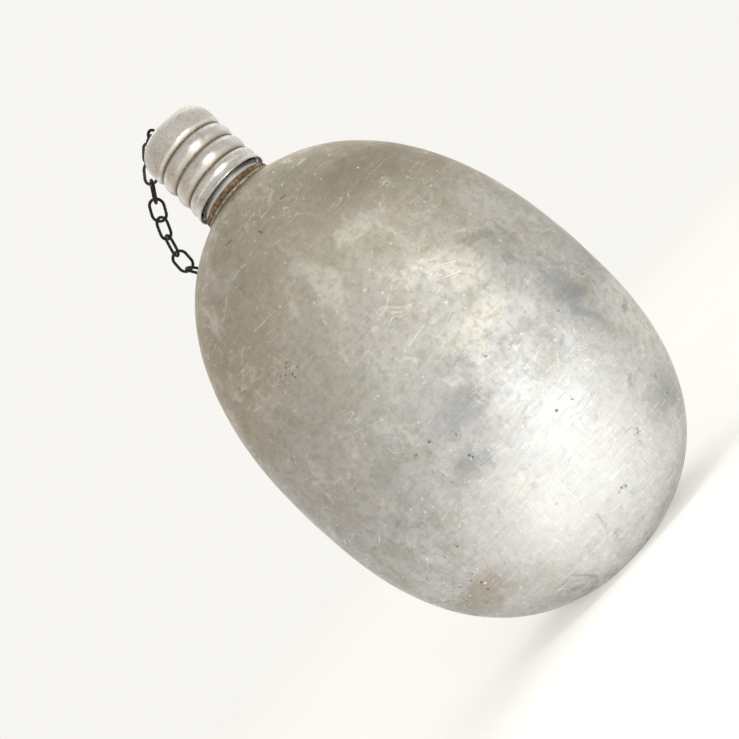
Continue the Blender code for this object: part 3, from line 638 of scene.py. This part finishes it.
def band_look():
    """Thin steel band, brown with rust and old dirt."""
    look = Look("rusty_band_steel")
    patch = look.noise(0.35, detail=7.0, rough=0.68, distort=0.8)
    fine = look.noise(1.6, detail=6.0, rough=0.7)
    colour = look.ramp(patch, (
        (0.34, (0.06, 0.035, 0.02)),
        (0.45, (0.17, 0.10, 0.05)),
        (0.55, (0.26, 0.195, 0.125)),
        (0.66, (0.46, 0.40, 0.30)),
    ))
    colour = look.mix(look.mask(fine, 0.52, 0.72, 0.6), colour, (0.055, 0.035, 0.022))
    bare = look.mask(patch, 0.60, 0.78)
    metallic = look.level(bare, 0.15, 0.75)
    roughness = look.level(bare, 0.85, 0.48)
    relief = look.plus(patch, look.times(fine, 0.6))
    return look.finish(colour, metallic, roughness, relief, 0.22)


def wire_look(name, base, worn, rust_share):
    """Blackened steel wire: rubbed grey where it bears on its neighbour, some rust."""
    look = Look(name)
    patch = look.noise(0.5, detail=6.0, rough=0.65, distort=0.6)
    fine = look.noise(2.6, detail=5.0, rough=0.7)
    wear = look.nodes.new("ShaderNodeAttribute")
    wear.attribute_name = "wear"
    rubbed = look.times(wear.outputs["Fac"], look.mask(fine, 0.35, 0.65))
    colour = look.mix(look.mask(patch, 0.35, 0.65), base, tuple(0.55 * c for c in base))
    rust = look.mask(patch, 0.66 - rust_share, 0.78 - rust_share)
    colour = look.over(colour, rust, 0.7, (0.12, 0.058, 0.03))
    colour = look.over(colour, rubbed, 0.8, worn)
    metallic = look.level(rubbed, 0.25, 0.9)
    roughness = look.level(rust, 0.55, 0.9)
    relief = look.plus(look.times(patch, 0.5), fine)
    return look.finish(colour, metallic, roughness, relief, 0.06)


def cork_look():
    """Cork: pale grains with dark pores."""
    look = Look("cork_seal")
    grain = look.noise(0.8, detail=5.0, rough=0.6, distort=0.8)
    colour = look.ramp(grain, (
        (0.3, (0.24, 0.13, 0.065)),
        (0.5, (0.46, 0.30, 0.17)),
        (0.7, (0.60, 0.43, 0.26)),
    ))
    pores = look.dots(0.8, 0.22, 0.45)
    colour = look.over(colour, pores, 0.8, (0.10, 0.05, 0.03))
    roughness = look.level(grain, 0.8, 0.95)
    relief = look.math("SUBTRACT", grain, pores)
    return look.finish(colour, 0.0, roughness, relief, 0.25)


def plate_look(name, tones, roughness_low):
    """Small stamped metal plates and washers."""
    look = Look(name)
    patch = look.noise(0.5, detail=6.0, rough=0.65, distort=0.5)
    fine = look.noise(2.2, detail=5.0, rough=0.7)
    colour = look.ramp(patch, ((0.3, tones[0]), (0.55, tones[1]), (0.75, tones[2])))
    colour = look.mix(look.mask(fine, 0.55, 0.75, 0.5), colour, tuple(0.4 * c for c in tones[1]))
    roughness = look.plus(roughness_low, look.times(fine, 0.25))
    metallic = look.level(look.mask(fine, 0.6, 0.75), 0.95, 0.6)
    relief = look.plus(patch, look.times(fine, 0.5))
    return look.finish(colour, metallic, roughness, relief, 0.08)


# ---- mesh helpers
def tube(rings, closed, first=0, capped=True):
    """Quads joining rings of equal length, numbered from a first vertex."""
    count = len(rings[0])
    faces = []
    last = len(rings) if closed else len(rings) - 1
    for i in range(last):
        here = first + i * count
        there = first + (i + 1) % len(rings) * count
        for k in range(count):
            after = (k + 1) % count
            faces.append((here + k, here + after, there + after, there + k))
    if not closed and capped:
        faces.append(tuple(first + k for k in reversed(range(count))))
        faces.append(tuple(first + (len(rings) - 1) * count + k for k in range(count)))
    return faces


def lathe(profile, segments, inward=None):
    """Rings of (radius, height) points about the neck axis."""
    rings = []
    for radius, z in profile:
        ring = []
        for k in range(segments):
            angle = 2 * math.pi * k / segments
            reach = radius if inward is None else inward(radius, z, angle)
            ring.append(Vector((reach * math.cos(angle), reach * math.sin(angle), z)))
        rings.append(ring)
    return rings


class Shells:
    """Gathers shells of vertices and faces for one piece."""

    def __init__(self):
        self.verts = []
        self.faces = []
        self.slots = []
        self.wear = []

    def add(self, rings, closed, slot=0, capped=True, wear=None):
        first = len(self.verts)
        self.faces += tube(rings, closed, first, capped)
        self.slots += [slot] * (len(self.faces) - len(self.slots))
        for ring in rings:
            self.verts += ring
        self.wear += wear or [0.0] * (len(self.verts) - first)

    def piece(self, name, looks, body, nodes):
        mesh = bpy.data.meshes.new(name)
        mesh.from_pydata([tuple(v * MM) for v in self.verts], [], self.faces)
        mesh.validate()
        attribute = mesh.attributes.new("wear", "FLOAT", "POINT")
        attribute.data.foreach_set("value", self.wear)
        for look in looks:
            mesh.materials.append(look)
        mesh.polygons.foreach_set("material_index", self.slots)
        mesh.polygons.foreach_set("use_smooth", [True] * len(mesh.polygons))
        mesh.update()
        obj = bpy.data.objects.new(name, mesh)
        bpy.context.scene.collection.objects.link(obj)
        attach(obj, body)
        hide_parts(*nodes)
        return obj


def ease(x):
    x = min(max(x, 0.0), 1.0)
    return x * x * (3 - 2 * x)


def rounded(profile, radius, steps=4):
    """A profile with its corners replaced by short arcs."""
    points = []
    for i, (r, z) in enumerate(profile):
        here = Vector((r, z))
        if i in (0, len(profile) - 1):
            points.append(here)
            continue
        before = Vector(profile[i - 1]) - here
        after = Vector(profile[i + 1]) - here
        cut = min(radius, 0.45 * before.length, 0.45 * after.length)
        a = here + before.normalized() * cut
        b = here + after.normalized() * cut
        for k in range(steps + 1):
            t = k / steps
            points.append(a * (1 - t) ** 2 + here * 2 * t * (1 - t) + b * t * t)
    return [(p.x, p.y) for p in points]


# ---- flask body
def half_width(z):
    if z < BODY_WIDEST_Z:
        share, power = (BODY_WIDEST_Z - z) / LOWER_REACH, LOWER_POWER
    else:
        share, power = (z - BODY_WIDEST_Z) / UPPER_REACH, UPPER_POWER
    return BODY_HALF_WIDTH * (1 - share ** power) ** (1 / power)


def half_depth(width):
    return BODY_HALF_DEPTH * (width / BODY_HALF_WIDTH) ** DEPTH_POWER


def oval(width, depth, z):
    share = (width - BODY_RIM_RADIUS) / (BODY_HALF_WIDTH - BODY_RIM_RADIUS)
    power = 2.0 + SECTION_SQUARENESS * ease(share)
    ring = []
    for k in range(BODY_SEGMENTS):
        angle = 2 * math.pi * k / BODY_SEGMENTS
        c, s = math.cos(angle), math.sin(angle)
        ring.append(Vector((width * math.copysign(abs(c) ** (2 / power), c),
                            depth * math.copysign(abs(s) ** (2 / power), s), z)))
    return ring


def pressed(point):
    """The point moved inwards by hand-worn unevenness and shallow dents."""
    inside = Vector((0.6 * point.x, 0.0, BODY_WIDEST_Z + 0.75 * (point.z - BODY_WIDEST_Z)))
    toward = (inside - point).normalized()
    depth = WAVE_DEPTH * (1 + noise.noise(point / WAVE_SIZE))
    depth += RIPPLE_DEPTH * (1 + noise.noise(point / RIPPLE_SIZE))
    for centre, radius, most in DENTS:
        share = (point - Vector(centre)).length / radius
        if share < 1:
            depth += most * (1 - ease(share))
    keep = ease(point.z / 14.0) * ease((188.0 - point.z) / 16.0)
    widest = ease(abs(abs(point.x) - BODY_HALF_WIDTH) / 1.5 + abs(point.z - BODY_WIDEST_Z) / 20.0)
    return point + toward * depth * keep * widest


def build_body():
    levels = []
    for i in range(BODY_ROWS + 1):
        share = i / BODY_ROWS
        if share < 0.5:
            levels.append(BODY_WIDEST_Z * (1 - math.cos(math.pi * share)))
        else:
            rise = math.sin(math.pi * (share - 0.5))
            levels.append(BODY_WIDEST_Z + (BODY_TOP_Z - BODY_WIDEST_Z) * rise)
    outer = [[pressed(p) for p in oval(half_width(z), half_depth(half_width(z)), z)] for z in levels]
    base_width = half_width(0.0)
    base_depth = half_depth(base_width)
    base = []
    for share, z in BASE_PROFILE:
        base.append(oval(max(share, 0.001) * base_width, max(share, 0.001) * base_depth, z))
    rim = [(BODY_RIM_RADIUS - 0.5, BODY_TOP_Z + 0.12), (BODY_MOUTH_RADIUS + 0.3, BODY_TOP_Z),
           (BODY_MOUTH_RADIUS, BODY_TOP_Z - 0.3), (BODY_MOUTH_RADIUS, BODY_TOP_Z - MOUTH_LIP_HEIGHT)]
    shells = Shells()
    shells.add(base + outer + lathe(rim, BODY_SEGMENTS), False, capped=False)
    inner = []
    for i in range(INNER_ROWS + 1):
        share = i / INNER_ROWS
        z = BODY_WIDEST_Z + (BODY_TOP_Z - 1.4 - BODY_WIDEST_Z) * math.cos(math.pi * share)
        if share > 0.5:
            z = BODY_WIDEST_Z + (BODY_WIDEST_Z - BODY_FLOOR - BASE_RECESS) * math.cos(math.pi * share)
        width = max(half_width(z) - BODY_WALL, INNER_LEAST)
        depth = max(half_depth(half_width(z)) - BODY_WALL, INNER_LEAST)
        inner.append(oval(width, depth, z))
    inner = lathe([(BODY_MOUTH_RADIUS, BODY_TOP_Z - MOUTH_LIP_HEIGHT)], BODY_SEGMENTS) + inner
    inner.append(oval(1.0, 0.6, BODY_FLOOR + BASE_RECESS))
    shells.add(inner, False, slot=1, capped=False)
    return shells.piece("flask_shell", [body_look(), inner_look()], "flask", ["flask_body"])


# ---- neck
def thread_height(angle, z):
    phase = (z / THREAD_PITCH - angle / (2 * math.pi)) % 1.0
    return 0.5 - 0.5 * math.cos(2 * math.pi * phase)


def thread_fade(z):
    return ease((z - THREAD_START_Z) / THREAD_FADE) * ease((THREAD_END_Z - z) / THREAD_FADE)


def neck_thread(radius, z, angle):
    return radius + THREAD_DEPTH * thread_height(angle, z) * thread_fade(z)


def build_neck():
    nose = FLANGE_THICKNESS / 2
    low = [(NECK_BORE_RADIUS, NECK_SPIGOT_Z), (NECK_SPIGOT_RADIUS, NECK_SPIGOT_Z),
           (NECK_SPIGOT_RADIUS, FLANGE_Z)]
    for i in range(FLANGE_STEPS + 1):
        angle = -math.pi / 2 + math.pi * i / FLANGE_STEPS
        low.append((FLANGE_RADIUS - nose + nose * math.cos(angle),
                    FLANGE_Z + nose + nose * math.sin(angle)))
    low += rounded([(NECK_LAND_RADIUS + 0.6, FLANGE_Z + FLANGE_THICKNESS),
                    (NECK_LAND_RADIUS, FLANGE_Z + FLANGE_THICKNESS),
                    (NECK_LAND_RADIUS, NECK_LAND_TOP_Z), (THREAD_ROOT_RADIUS, NECK_LAND_TOP_Z + 0.6),
                    (THREAD_ROOT_RADIUS, THREAD_START_Z)], 0.25)
    rows = int((THREAD_END_Z - THREAD_START_Z) / NECK_ROW_STEP)
    threads = [(THREAD_ROOT_RADIUS, THREAD_START_Z + NECK_ROW_STEP * i) for i in range(1, rows + 1)]
    high = rounded([(THREAD_ROOT_RADIUS, THREAD_END_Z + NECK_ROW_STEP), (THREAD_ROOT_RADIUS, NECK_TOP_Z),
                    (NECK_BORE_RADIUS, NECK_TOP_Z), (NECK_BORE_RADIUS, NECK_TOP_Z - 2.0)], 0.6)
    shells = Shells()
    shells.add(lathe(low, NECK_SEGMENTS) + lathe(threads, NECK_SEGMENTS, neck_thread)
               + lathe(high, NECK_SEGMENTS), True)
    return shells.piece("neck_spout", [neck_look()], "flask", ["threaded_neck"])


def wire(path, diameter, closed, swell=None):
    """Rings of round wire along a path, without twist. Swell scales the wire at each point."""
    count = len(path)
    tangents = []
    for i in range(count):
        if closed:
            tangents.append((path[(i + 1) % count] - path[i - 1]).normalized())
        else:
            tangents.append((path[min(i + 1, count - 1)] - path[max(i - 1, 0)]).normalized())
    side = tangents[0].orthogonal().normalized()
    rings = []
    for i in range(count):
        side = (side - tangents[i] * side.dot(tangents[i])).normalized()
        up = tangents[i].cross(side)
        radius = diameter / 2 * WIRE_SHARE * (swell[i] if swell else 1.0)
        rings.append(circle(path[i], side, up, radius, WIRE_SIDES))
    return rings


def circle(centre, right, up, radius, steps):
    points = []
    for i in range(steps):
        angle = 2 * math.pi * i / steps
        points.append(centre + (right * math.cos(angle) + up * math.sin(angle)) * radius)
    return points


def build_band(look):
    top = BAND_Z + BAND_HEIGHT
    profile = rounded([(BAND_INNER_RADIUS, BAND_Z + 0.5), (BAND_INNER_RADIUS, BAND_Z),
                       (BAND_OUTER_RADIUS, BAND_Z), (BAND_OUTER_RADIUS, top),
                       (BAND_INNER_RADIUS, top), (BAND_INNER_RADIUS, top - 0.5)], BAND_EDGE)
    shells = Shells()

    def uneven(radius, z, angle):
        ripple = noise.noise(Vector((9 * math.cos(angle), 9 * math.sin(angle), z * 0.6)))
        return radius - 0.10 * (1 + ripple) * ease((radius - BAND_INNER_RADIUS) / 0.5)

    shells.add(lathe(profile, BAND_SEGMENTS, uneven), True)
    centre = Vector((LUG_REACH * math.cos(LUG_AZIMUTH), LUG_REACH * math.sin(LUG_AZIMUTH),
                     BAND_Z + BAND_HEIGHT / 2))
    lug = circle(centre, Vector((1, 0, 0)), Vector((0, 1, 0)), LUG_RADIUS, LUG_STEPS)
    shells.add(wire(lug, LUG_WIRE, True), True)
    return shells.piece("rusty_neck_band", [look], "band", ["neck_band"])


# ---- cap
def ridge(low, high):
    """A rounded ridge, fullest towards the neck, where it turns in sharply to its groove."""
    points = []
    for i in range(1, RIDGE_STEPS):
        share = i / RIDGE_STEPS
        bulge = math.sin(math.pi * share ** RIDGE_LEAN) ** RIDGE_FULLNESS
        radius = CAP_GROOVE_RADIUS + (CAP_RIDGE_RADIUS - CAP_GROOVE_RADIUS) * bulge
        points.append((radius, low + (high - low) * share))
    return points


def knurled(radius, z, angle):
    """Fine upright lines pressed into the dome."""
    strength = ease((z - KNURL_FIRST_Z) / 1.5) * ease((radius - 8.0) / 4.0)
    wave = 0.5 - 0.5 * math.cos(KNURL_TEETH * angle)
    return radius - KNURL_DEPTH * strength * wave


def build_cap():
    shells = Shells()
    sides = rounded([(CAP_LIP_RADIUS, CAP_SKIRT_Z + 0.4), (CAP_LIP_RADIUS + 0.05, CAP_SKIRT_Z),
                     (CAP_EDGE_RADIUS, CAP_SKIRT_Z),
                     (CAP_EDGE_RADIUS, CAP_SKIRT_Z + 1.0), (CAP_DIP_RADIUS, CAP_SKIRT_Z + 1.5),
                     (CAP_DIP_RADIUS, CAP_SKIRT_Z + 1.9)], 0.35)
    lowest = [(max(r, CAP_DIP_RADIUS) if z < 204.0 else r, z)
              for r, z in ridge(CAP_SKIRT_Z + 1.6, CAP_GROOVE_Z[0]) if z > CAP_SKIRT_Z + 2.1]
    sides += lowest
    sides.append((CAP_GROOVE_RADIUS, CAP_GROOVE_Z[0]))
    sides += ridge(CAP_GROOVE_Z[0], CAP_GROOVE_Z[1])
    sides.append((CAP_GROOVE_RADIUS, CAP_GROOVE_Z[1]))
    sides += ridge(CAP_GROOVE_Z[1], CAP_GROOVE_Z[2])
    sides.append((CAP_GROOVE_RADIUS, CAP_GROOVE_Z[2]))
    shells.add(lathe(sides, CAP_SEGMENTS), False, capped=False)
    dome = [(CAP_GROOVE_RADIUS, CAP_GROOVE_Z[2])]
    for i in range(1, DOME_STEPS + 1):
        share = i / DOME_STEPS
        swell = math.sin(math.pi / 2 * share)
        dome.append((CAP_GROOVE_RADIUS + (CAP_DOME_RADIUS - CAP_GROOVE_RADIUS) * swell,
                     CAP_GROOVE_Z[2] + DOME_RISE * share))
    for i in range(1, DOME_STEPS + 1):
        dome.append((CAP_DOME_RADIUS, CAP_GROOVE_Z[2] + DOME_RISE
                     + (CAP_DOME_SHOULDER_Z - CAP_GROOVE_Z[2] - DOME_RISE) * i / DOME_STEPS))
    for i in range(1, DOME_ROUND_STEPS + 1):
        angle = math.pi / 2 * i / DOME_ROUND_STEPS
        dome.append((CAP_DOME_RADIUS - CAP_DOME_ROUND * (1 - math.cos(angle)),
                     CAP_DOME_SHOULDER_Z + (CAP_TOP_Z - CAP_DOME_SHOULDER_Z) * math.sin(angle)))
    flat = CAP_DOME_RADIUS - CAP_DOME_ROUND
    for share, rise in TOP_PROFILE:
        dome.append((CAP_HOLE_RADIUS + (flat - CAP_HOLE_RADIUS) * share, CAP_TOP_Z + rise))
    top = CAP_TOP_Z + CAP_TOP_RISE
    dome += [(CAP_HOLE_RADIUS + 0.2, top), (CAP_HOLE_RADIUS, top - 0.2),
             (CAP_HOLE_RADIUS, CAP_CEILING_Z)]
    shells.add(lathe(dome, KNURL_TEETH * KNURL_SAMPLES, knurled), False, capped=False)

    root = THREAD_ROOT_RADIUS + THREAD_CLEARANCE
    crest = root + THREAD_DEPTH

    def female(radius, z, angle):
        if THREAD_START_Z <= z <= THREAD_END_Z and radius == root:
            return crest - (1 - thread_height(angle, z)) * THREAD_DEPTH * thread_fade(z)
        return radius

    rows = int((THREAD_END_Z - THREAD_START_Z) / CAP_INNER_ROW_STEP)
    inside = [(CAP_HOLE_RADIUS, CAP_CEILING_Z), (10.6, CAP_CEILING_Z), (12.0, CAP_CEILING_Z - 0.6),
              (12.6, CAP_CEILING_Z - 2.0), (13.2, 224.3), (CAP_POCKET_RADIUS, 224.0),
              (CAP_POCKET_RADIUS, CAP_SEAT_Z)]
    inside += [(root, THREAD_END_Z - CAP_INNER_ROW_STEP * i) for i in range(rows + 1)]
    inside += [(crest, THREAD_START_Z - 0.3), (15.4, CAP_SKIRT_Z + 1.7), (16.6, CAP_SKIRT_Z + 0.9),
               (CAP_LIP_RADIUS, CAP_SKIRT_Z + 0.4)]
    shells.add(lathe(inside, CAP_INNER_SEGMENTS, female), False, capped=False)
    return shells.piece("cap_screw_shell", [cap_look()], "cap", ["cap_shell"])


def disc(name, node, body, look, radius, hole, softness, crown=0.0):
    """A flat round piece in the place of its node."""
    low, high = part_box(node)
    bottom, top = low[2] / MM, high[2] / MM
    edge = [(radius, bottom), (radius, top - crown)]
    if hole:
        middle = (hole, (bottom + top) / 2)
        profile = rounded([middle, (hole, bottom), *edge, (hole, top), middle], softness)
    else:
        profile = rounded([(0.01, bottom), *edge, (0.01, top)], softness)
    shells = Shells()
    shells.add(lathe(profile, DISC_SEGMENTS), bool(hole), capped=not hole)
    return shells.piece(name, [look], body, [node])


# ---- swivel eye and chain
def build_swivel_eye(look):
    """The split pin: two legs through the cap, opened out below, and an eye leaning over above."""
    outward = Vector((math.cos(PIN_AZIMUTH), math.sin(PIN_AZIMUTH), 0))
    up = Vector((0, 0, 1))
    inward = -outward
    rise = CAP_TOP_Z + CAP_TOP_RISE + 0.3 + WASHER_THICKNESS + PIN_BEND_RISE
    middle = outward * PIN_BEND_RADIUS + up * rise
    lean = outward * math.sin(PIN_EYE_LEAN) + up * math.cos(PIN_EYE_LEAN)
    over = up * math.sin(PIN_EYE_LEAN) - outward * math.cos(PIN_EYE_LEAN)
    eye = middle + over * PIN_BEND_RADIUS + lean * PIN_SHANK
    half = PIN_LEG_SPACING / 2

    def leg(sign):
        low = CAP_CEILING_Z - 0.6 - KEEPER_THICKNESS - PIN_WIRE / 2
        points = [inward * sign * (half + out) + up * low for out in (PIN_CLINCH, 1.6)]
        for i in range(7):
            angle = math.pi / 2 * i / 6
            points.append(inward * sign * (half + PIN_CORNER * (1 - math.sin(angle)))
                          + up * (low + PIN_CORNER * (1 - math.cos(angle))))
        for i in range(11):
            angle = PIN_EYE_LEAN * i / 10
            direction = inward * math.cos(angle) + up * math.sin(angle)
            points.append(middle + direction * (PIN_BEND_RADIUS + sign * half))
        return points

    start = math.asin(half / PIN_EYE_RADIUS)
    loop = []
    for i in range(37):
        angle = start + (2 * math.pi - 2 * start) * i / 36
        loop.append(eye + (over * math.sin(angle) - lean * math.cos(angle)) * PIN_EYE_RADIUS)
    path = leg(1) + loop + list(reversed(leg(-1)))
    shells = Shells()
    wear = []
    for point in path:
        rub = ease(1 - (point - (eye + lean * PIN_EYE_RADIUS)).length / 2.5)
        wear += [rub] * WIRE_SIDES
    shells.add(wire(path, PIN_WIRE, False), False, wear=wear)
    return shells.piece("split_pin_eye", [look], "eye", ["swivel_eye"])


def axes(node):
    """Middle of a node and its directions, longest first, from its own shape."""
    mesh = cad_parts[node].data
    points = np.empty(len(mesh.vertices) * 3)
    mesh.vertices.foreach_get("co", points)
    points = points.reshape(-1, 3) / MM
    low, high = points.min(0), points.max(0)
    faces = np.array([[*p.center, p.area] for p in mesh.polygons])
    centre = (faces[:, :3] * faces[:, 3:]).sum(0) / faces[:, 3].sum() / MM
    _, _, rows = np.linalg.svd(points - centre, full_matrices=False)
    if not (low < centre).all() or not (centre < high).all():
        raise ValueError(f"{node} has no middle")
    return Vector(centre), Vector(rows[0]), Vector(rows[1])


def build_ring(node, outer, diameter, look):
    centre, right, up = axes(node)
    path = circle(centre, right, up, (outer - diameter) / 2, RING_STEPS)
    # a fine seam where the ring's ends meet
    swell = [1.0 - 0.16 * math.exp(-((i - RING_STEPS // 2) / 0.8) ** 2) for i in range(RING_STEPS)]
    shells = Shells()
    shells.add(wire(path, diameter, True, swell=swell), True, wear=[0.5] * RING_STEPS * WIRE_SIDES)
    return shells.piece(node + "_wire", [look], node + "_body", [node])


def build_link(number, looks):
    """A long wire link, its closed joint half way along one side."""
    node = f"chain_link_{number:02d}"
    centre, along, across = axes(node)
    width = FIRST_LINK_WIDTH if number == 1 else LINK_WIDTH
    radius = (width - LINK_WIRE) / 2
    straight = (LINK_LENGTH - LINK_WIRE) / 2 - radius
    path = []
    wear = []
    swell = []
    for end in (1, -1):
        for i in range(17):
            angle = -math.pi / 2 + math.pi * i / 16
            path.append(centre + along * end * (straight + radius * math.cos(angle))
                        + across * end * radius * math.sin(angle))
            wear.append(ease(1.15 - abs(angle) / 0.75))
            swell.append(1.0)
        if end == 1:
            for place, size in LINK_WELD:
                path.append(centre + along * place * straight + across * radius)
                wear.append(0.15)
                swell.append(size)
    shells = Shells()
    spread = [w for w in wear for _ in range(WIRE_SIDES)]
    diameter = LINK_WIRE if number == 1 else LINK_SHOWN_WIRE
    shells.add(wire(path, diameter, True, swell=swell), True, wear=spread)
    look = looks[0] if number <= 2 else looks[1]
    return shells.piece(node + "_wire", [look], node + "_body", [node])


# ---- camera, lights and stage
CAMERA_PLACE = (4.0, -345.7, 85.0)
CAMERA_TILT = -0.084
CAMERA_AZIMUTH = 0.055
CAMERA_ROLL = -0.828
CAMERA_LENS = 44.38


def add_camera():
    back = Vector((math.sin(CAMERA_AZIMUTH) * math.cos(CAMERA_TILT),
                   -math.cos(CAMERA_AZIMUTH) * math.cos(CAMERA_TILT), math.sin(CAMERA_TILT)))
    right = Vector((math.cos(CAMERA_AZIMUTH), math.sin(CAMERA_AZIMUTH), 0.0))
    up = right.cross(-back)
    c, s = math.cos(CAMERA_ROLL), math.sin(CAMERA_ROLL)
    turned_right = right * c + up * s
    turned_up = up * c - right * s
    camera = bpy.data.objects.new("camera", bpy.data.cameras.new("camera"))
    camera.data.lens = CAMERA_LENS
    camera.data.sensor_width = 36.0
    camera.data.clip_start = 0.01
    turn = Matrix((turned_right, turned_up, back)).transposed().to_4x4()
    camera.matrix_world = Matrix.Translation(Vector(CAMERA_PLACE) * MM) @ turn
    bpy.context.scene.collection.objects.link(camera)
    bpy.context.scene.camera = camera


def add_area(name, place, target, size, power, colour, spread=180.0):
    light = bpy.data.lights.new(name, "AREA")
    light.shape = "RECTANGLE"
    light.size, light.size_y = size
    light.energy = power
    light.color = colour
    light.spread = math.radians(spread)
    obj = bpy.data.objects.new(name, light)
    obj.location = place
    obj.rotation_euler = (Vector(target) - Vector(place)).to_track_quat("-Z", "Y").to_euler()
    obj.visible_camera = False
    bpy.context.scene.collection.objects.link(obj)


ROOM = (0.93, 0.92, 0.885)
ROOM_FRONT = (0.60, 0.575, 0.53)
ROOM_LEFT = (0.55, 0.485, 0.43)
FLOOR_GLOW = 0.30
FLOOR_Z = -0.15
FLOOR_RADII = (1.0, 300.0, 1750.0)
FLOOR_FADE = (550.0, 1700.0)    # where the floor starts and ends thinning out
FLOOR_SEGMENTS = 96


def add_world():
    """A pale room: light behind the flask, softer in front of it, warmer and darker to its left."""
    world = bpy.data.worlds.new("room")
    bpy.context.scene.world = world
    room = Nodes(world)
    x, y, _ = room.split(room.coordinates.outputs["Generated"])
    front = room.mix(room.mask(x, -0.2, -0.95), ROOM_FRONT, ROOM_LEFT)
    background = room.nodes["Background"]
    room.put(background.inputs["Color"], room.mix(room.mask(y, 0.0, 0.72), front, ROOM))


def add_floor():
    """A pale floor that thins out far away, so that it meets the room without an edge."""
    look = Look("pale_floor")
    reach = look.from_axis(look.mm)
    grain = look.noise(0.02, detail=4.0)
    colour = look.mix(grain, (0.90, 0.90, 0.885), (0.93, 0.93, 0.915))
    look.finish(colour, 0.0, look.level(grain, 0.85, 0.95))
    look.shader.inputs["Emission Color"].default_value = (*ROOM, 1.0)
    look.shader.inputs["Emission Strength"].default_value = FLOOR_GLOW
    clear = look.nodes.new("ShaderNodeBsdfTransparent")
    blend = look.nodes.new("ShaderNodeMixShader")
    look.links.new(look.mask(reach, *FLOOR_FADE), blend.inputs[0])
    look.links.new(look.shader.outputs[0], blend.inputs[1])
    look.links.new(clear.outputs[0], blend.inputs[2])
    output = look.nodes["Material Output"]
    look.links.new(blend.outputs[0], output.inputs["Surface"])
    mesh = bpy.data.meshes.new("floor")
    rings = lathe([(radius, FLOOR_Z) for radius in FLOOR_RADII], FLOOR_SEGMENTS)
    verts = [tuple(v * MM) for ring in rings for v in ring]
    mesh.from_pydata(verts, [], tube(rings, False, 0, False) + [tuple(range(FLOOR_SEGMENTS))])
    mesh.materials.append(look.material)
    floor = bpy.data.objects.new("floor", mesh)
    bpy.context.scene.collection.objects.link(floor)


# ---- put together
add_camera()
build_body()
build_neck()
band_steel = band_look()
build_band(band_steel)
build_cap()
disc("cork_seal_disc", "cap_seal", "seal", cork_look(), SEAL_RADIUS, 0.0, 0.5)
zinc = plate_look("worn_zinc", ((0.48, 0.47, 0.44), (0.60, 0.59, 0.56), (0.70, 0.69, 0.66)), 0.30)
disc("seal_backing_plate", "seal_backing", "seal", zinc, BACKING_RADIUS, 0.0, 0.25)
disc("swivel_washer_plate", "swivel_washer", "eye", zinc, WASHER_RADIUS, CAP_HOLE_RADIUS,
     0.25, 0.15)
dark_tones = ((0.06, 0.05, 0.045), (0.11, 0.09, 0.08), (0.16, 0.12, 0.09))
dark_plate = plate_look("dark_plate", dark_tones, 0.42)
disc("keeper_washer_plate", "keeper_washer", "eye", dark_plate, KEEPER_RADIUS,
     CAP_HOLE_RADIUS, 0.2)
black_wire = wire_look("blackened_wire", (0.009, 0.008, 0.0075), (0.11, 0.105, 0.10), 0.06)
grey_wire = wire_look("worn_grey_wire", (0.06, 0.058, 0.052), (0.40, 0.39, 0.37), 0.03)
build_swivel_eye(black_wire)
build_ring("eye_ring", EYE_RING_OUTER, EYE_RING_WIRE, black_wire)
for number in range(1, LINK_COUNT + 1):
    build_link(number, (grey_wire, black_wire))
build_ring("end_ring", END_RING_OUTER, END_RING_WIRE, black_wire)

add_world()
add_floor()
# name, place, target, size (m), power, colour, spread; the two floor lights are what shines
# back from the ground in the flask's lower front
add_area("window_on_floor", (0.012, -0.15, 0.33), (0.008, -0.112, 0.0), (0.07, 0.07), 0.036,
         (0.98, 0.99, 1.0), 38.0)
add_area("wide_on_floor", (0.02, -0.36, 0.32), (0.02, -0.34, 0.0), (0.2, 0.2), 0.115,
         (0.98, 0.99, 1.0), 80.0)
add_area("window", (0.22, -0.55, 0.13), (0.0, 0.0, 0.13), (0.24, 0.30), 0.75, (0.97, 0.99, 1.0))
add_area("soft_top", (0.25, 0.25, 0.9), (0.0, 0.0, 0.1), (0.9, 0.9), 1.0, (1.0, 0.99, 0.97))
bpy.context.scene.view_settings.view_transform = "Standard"
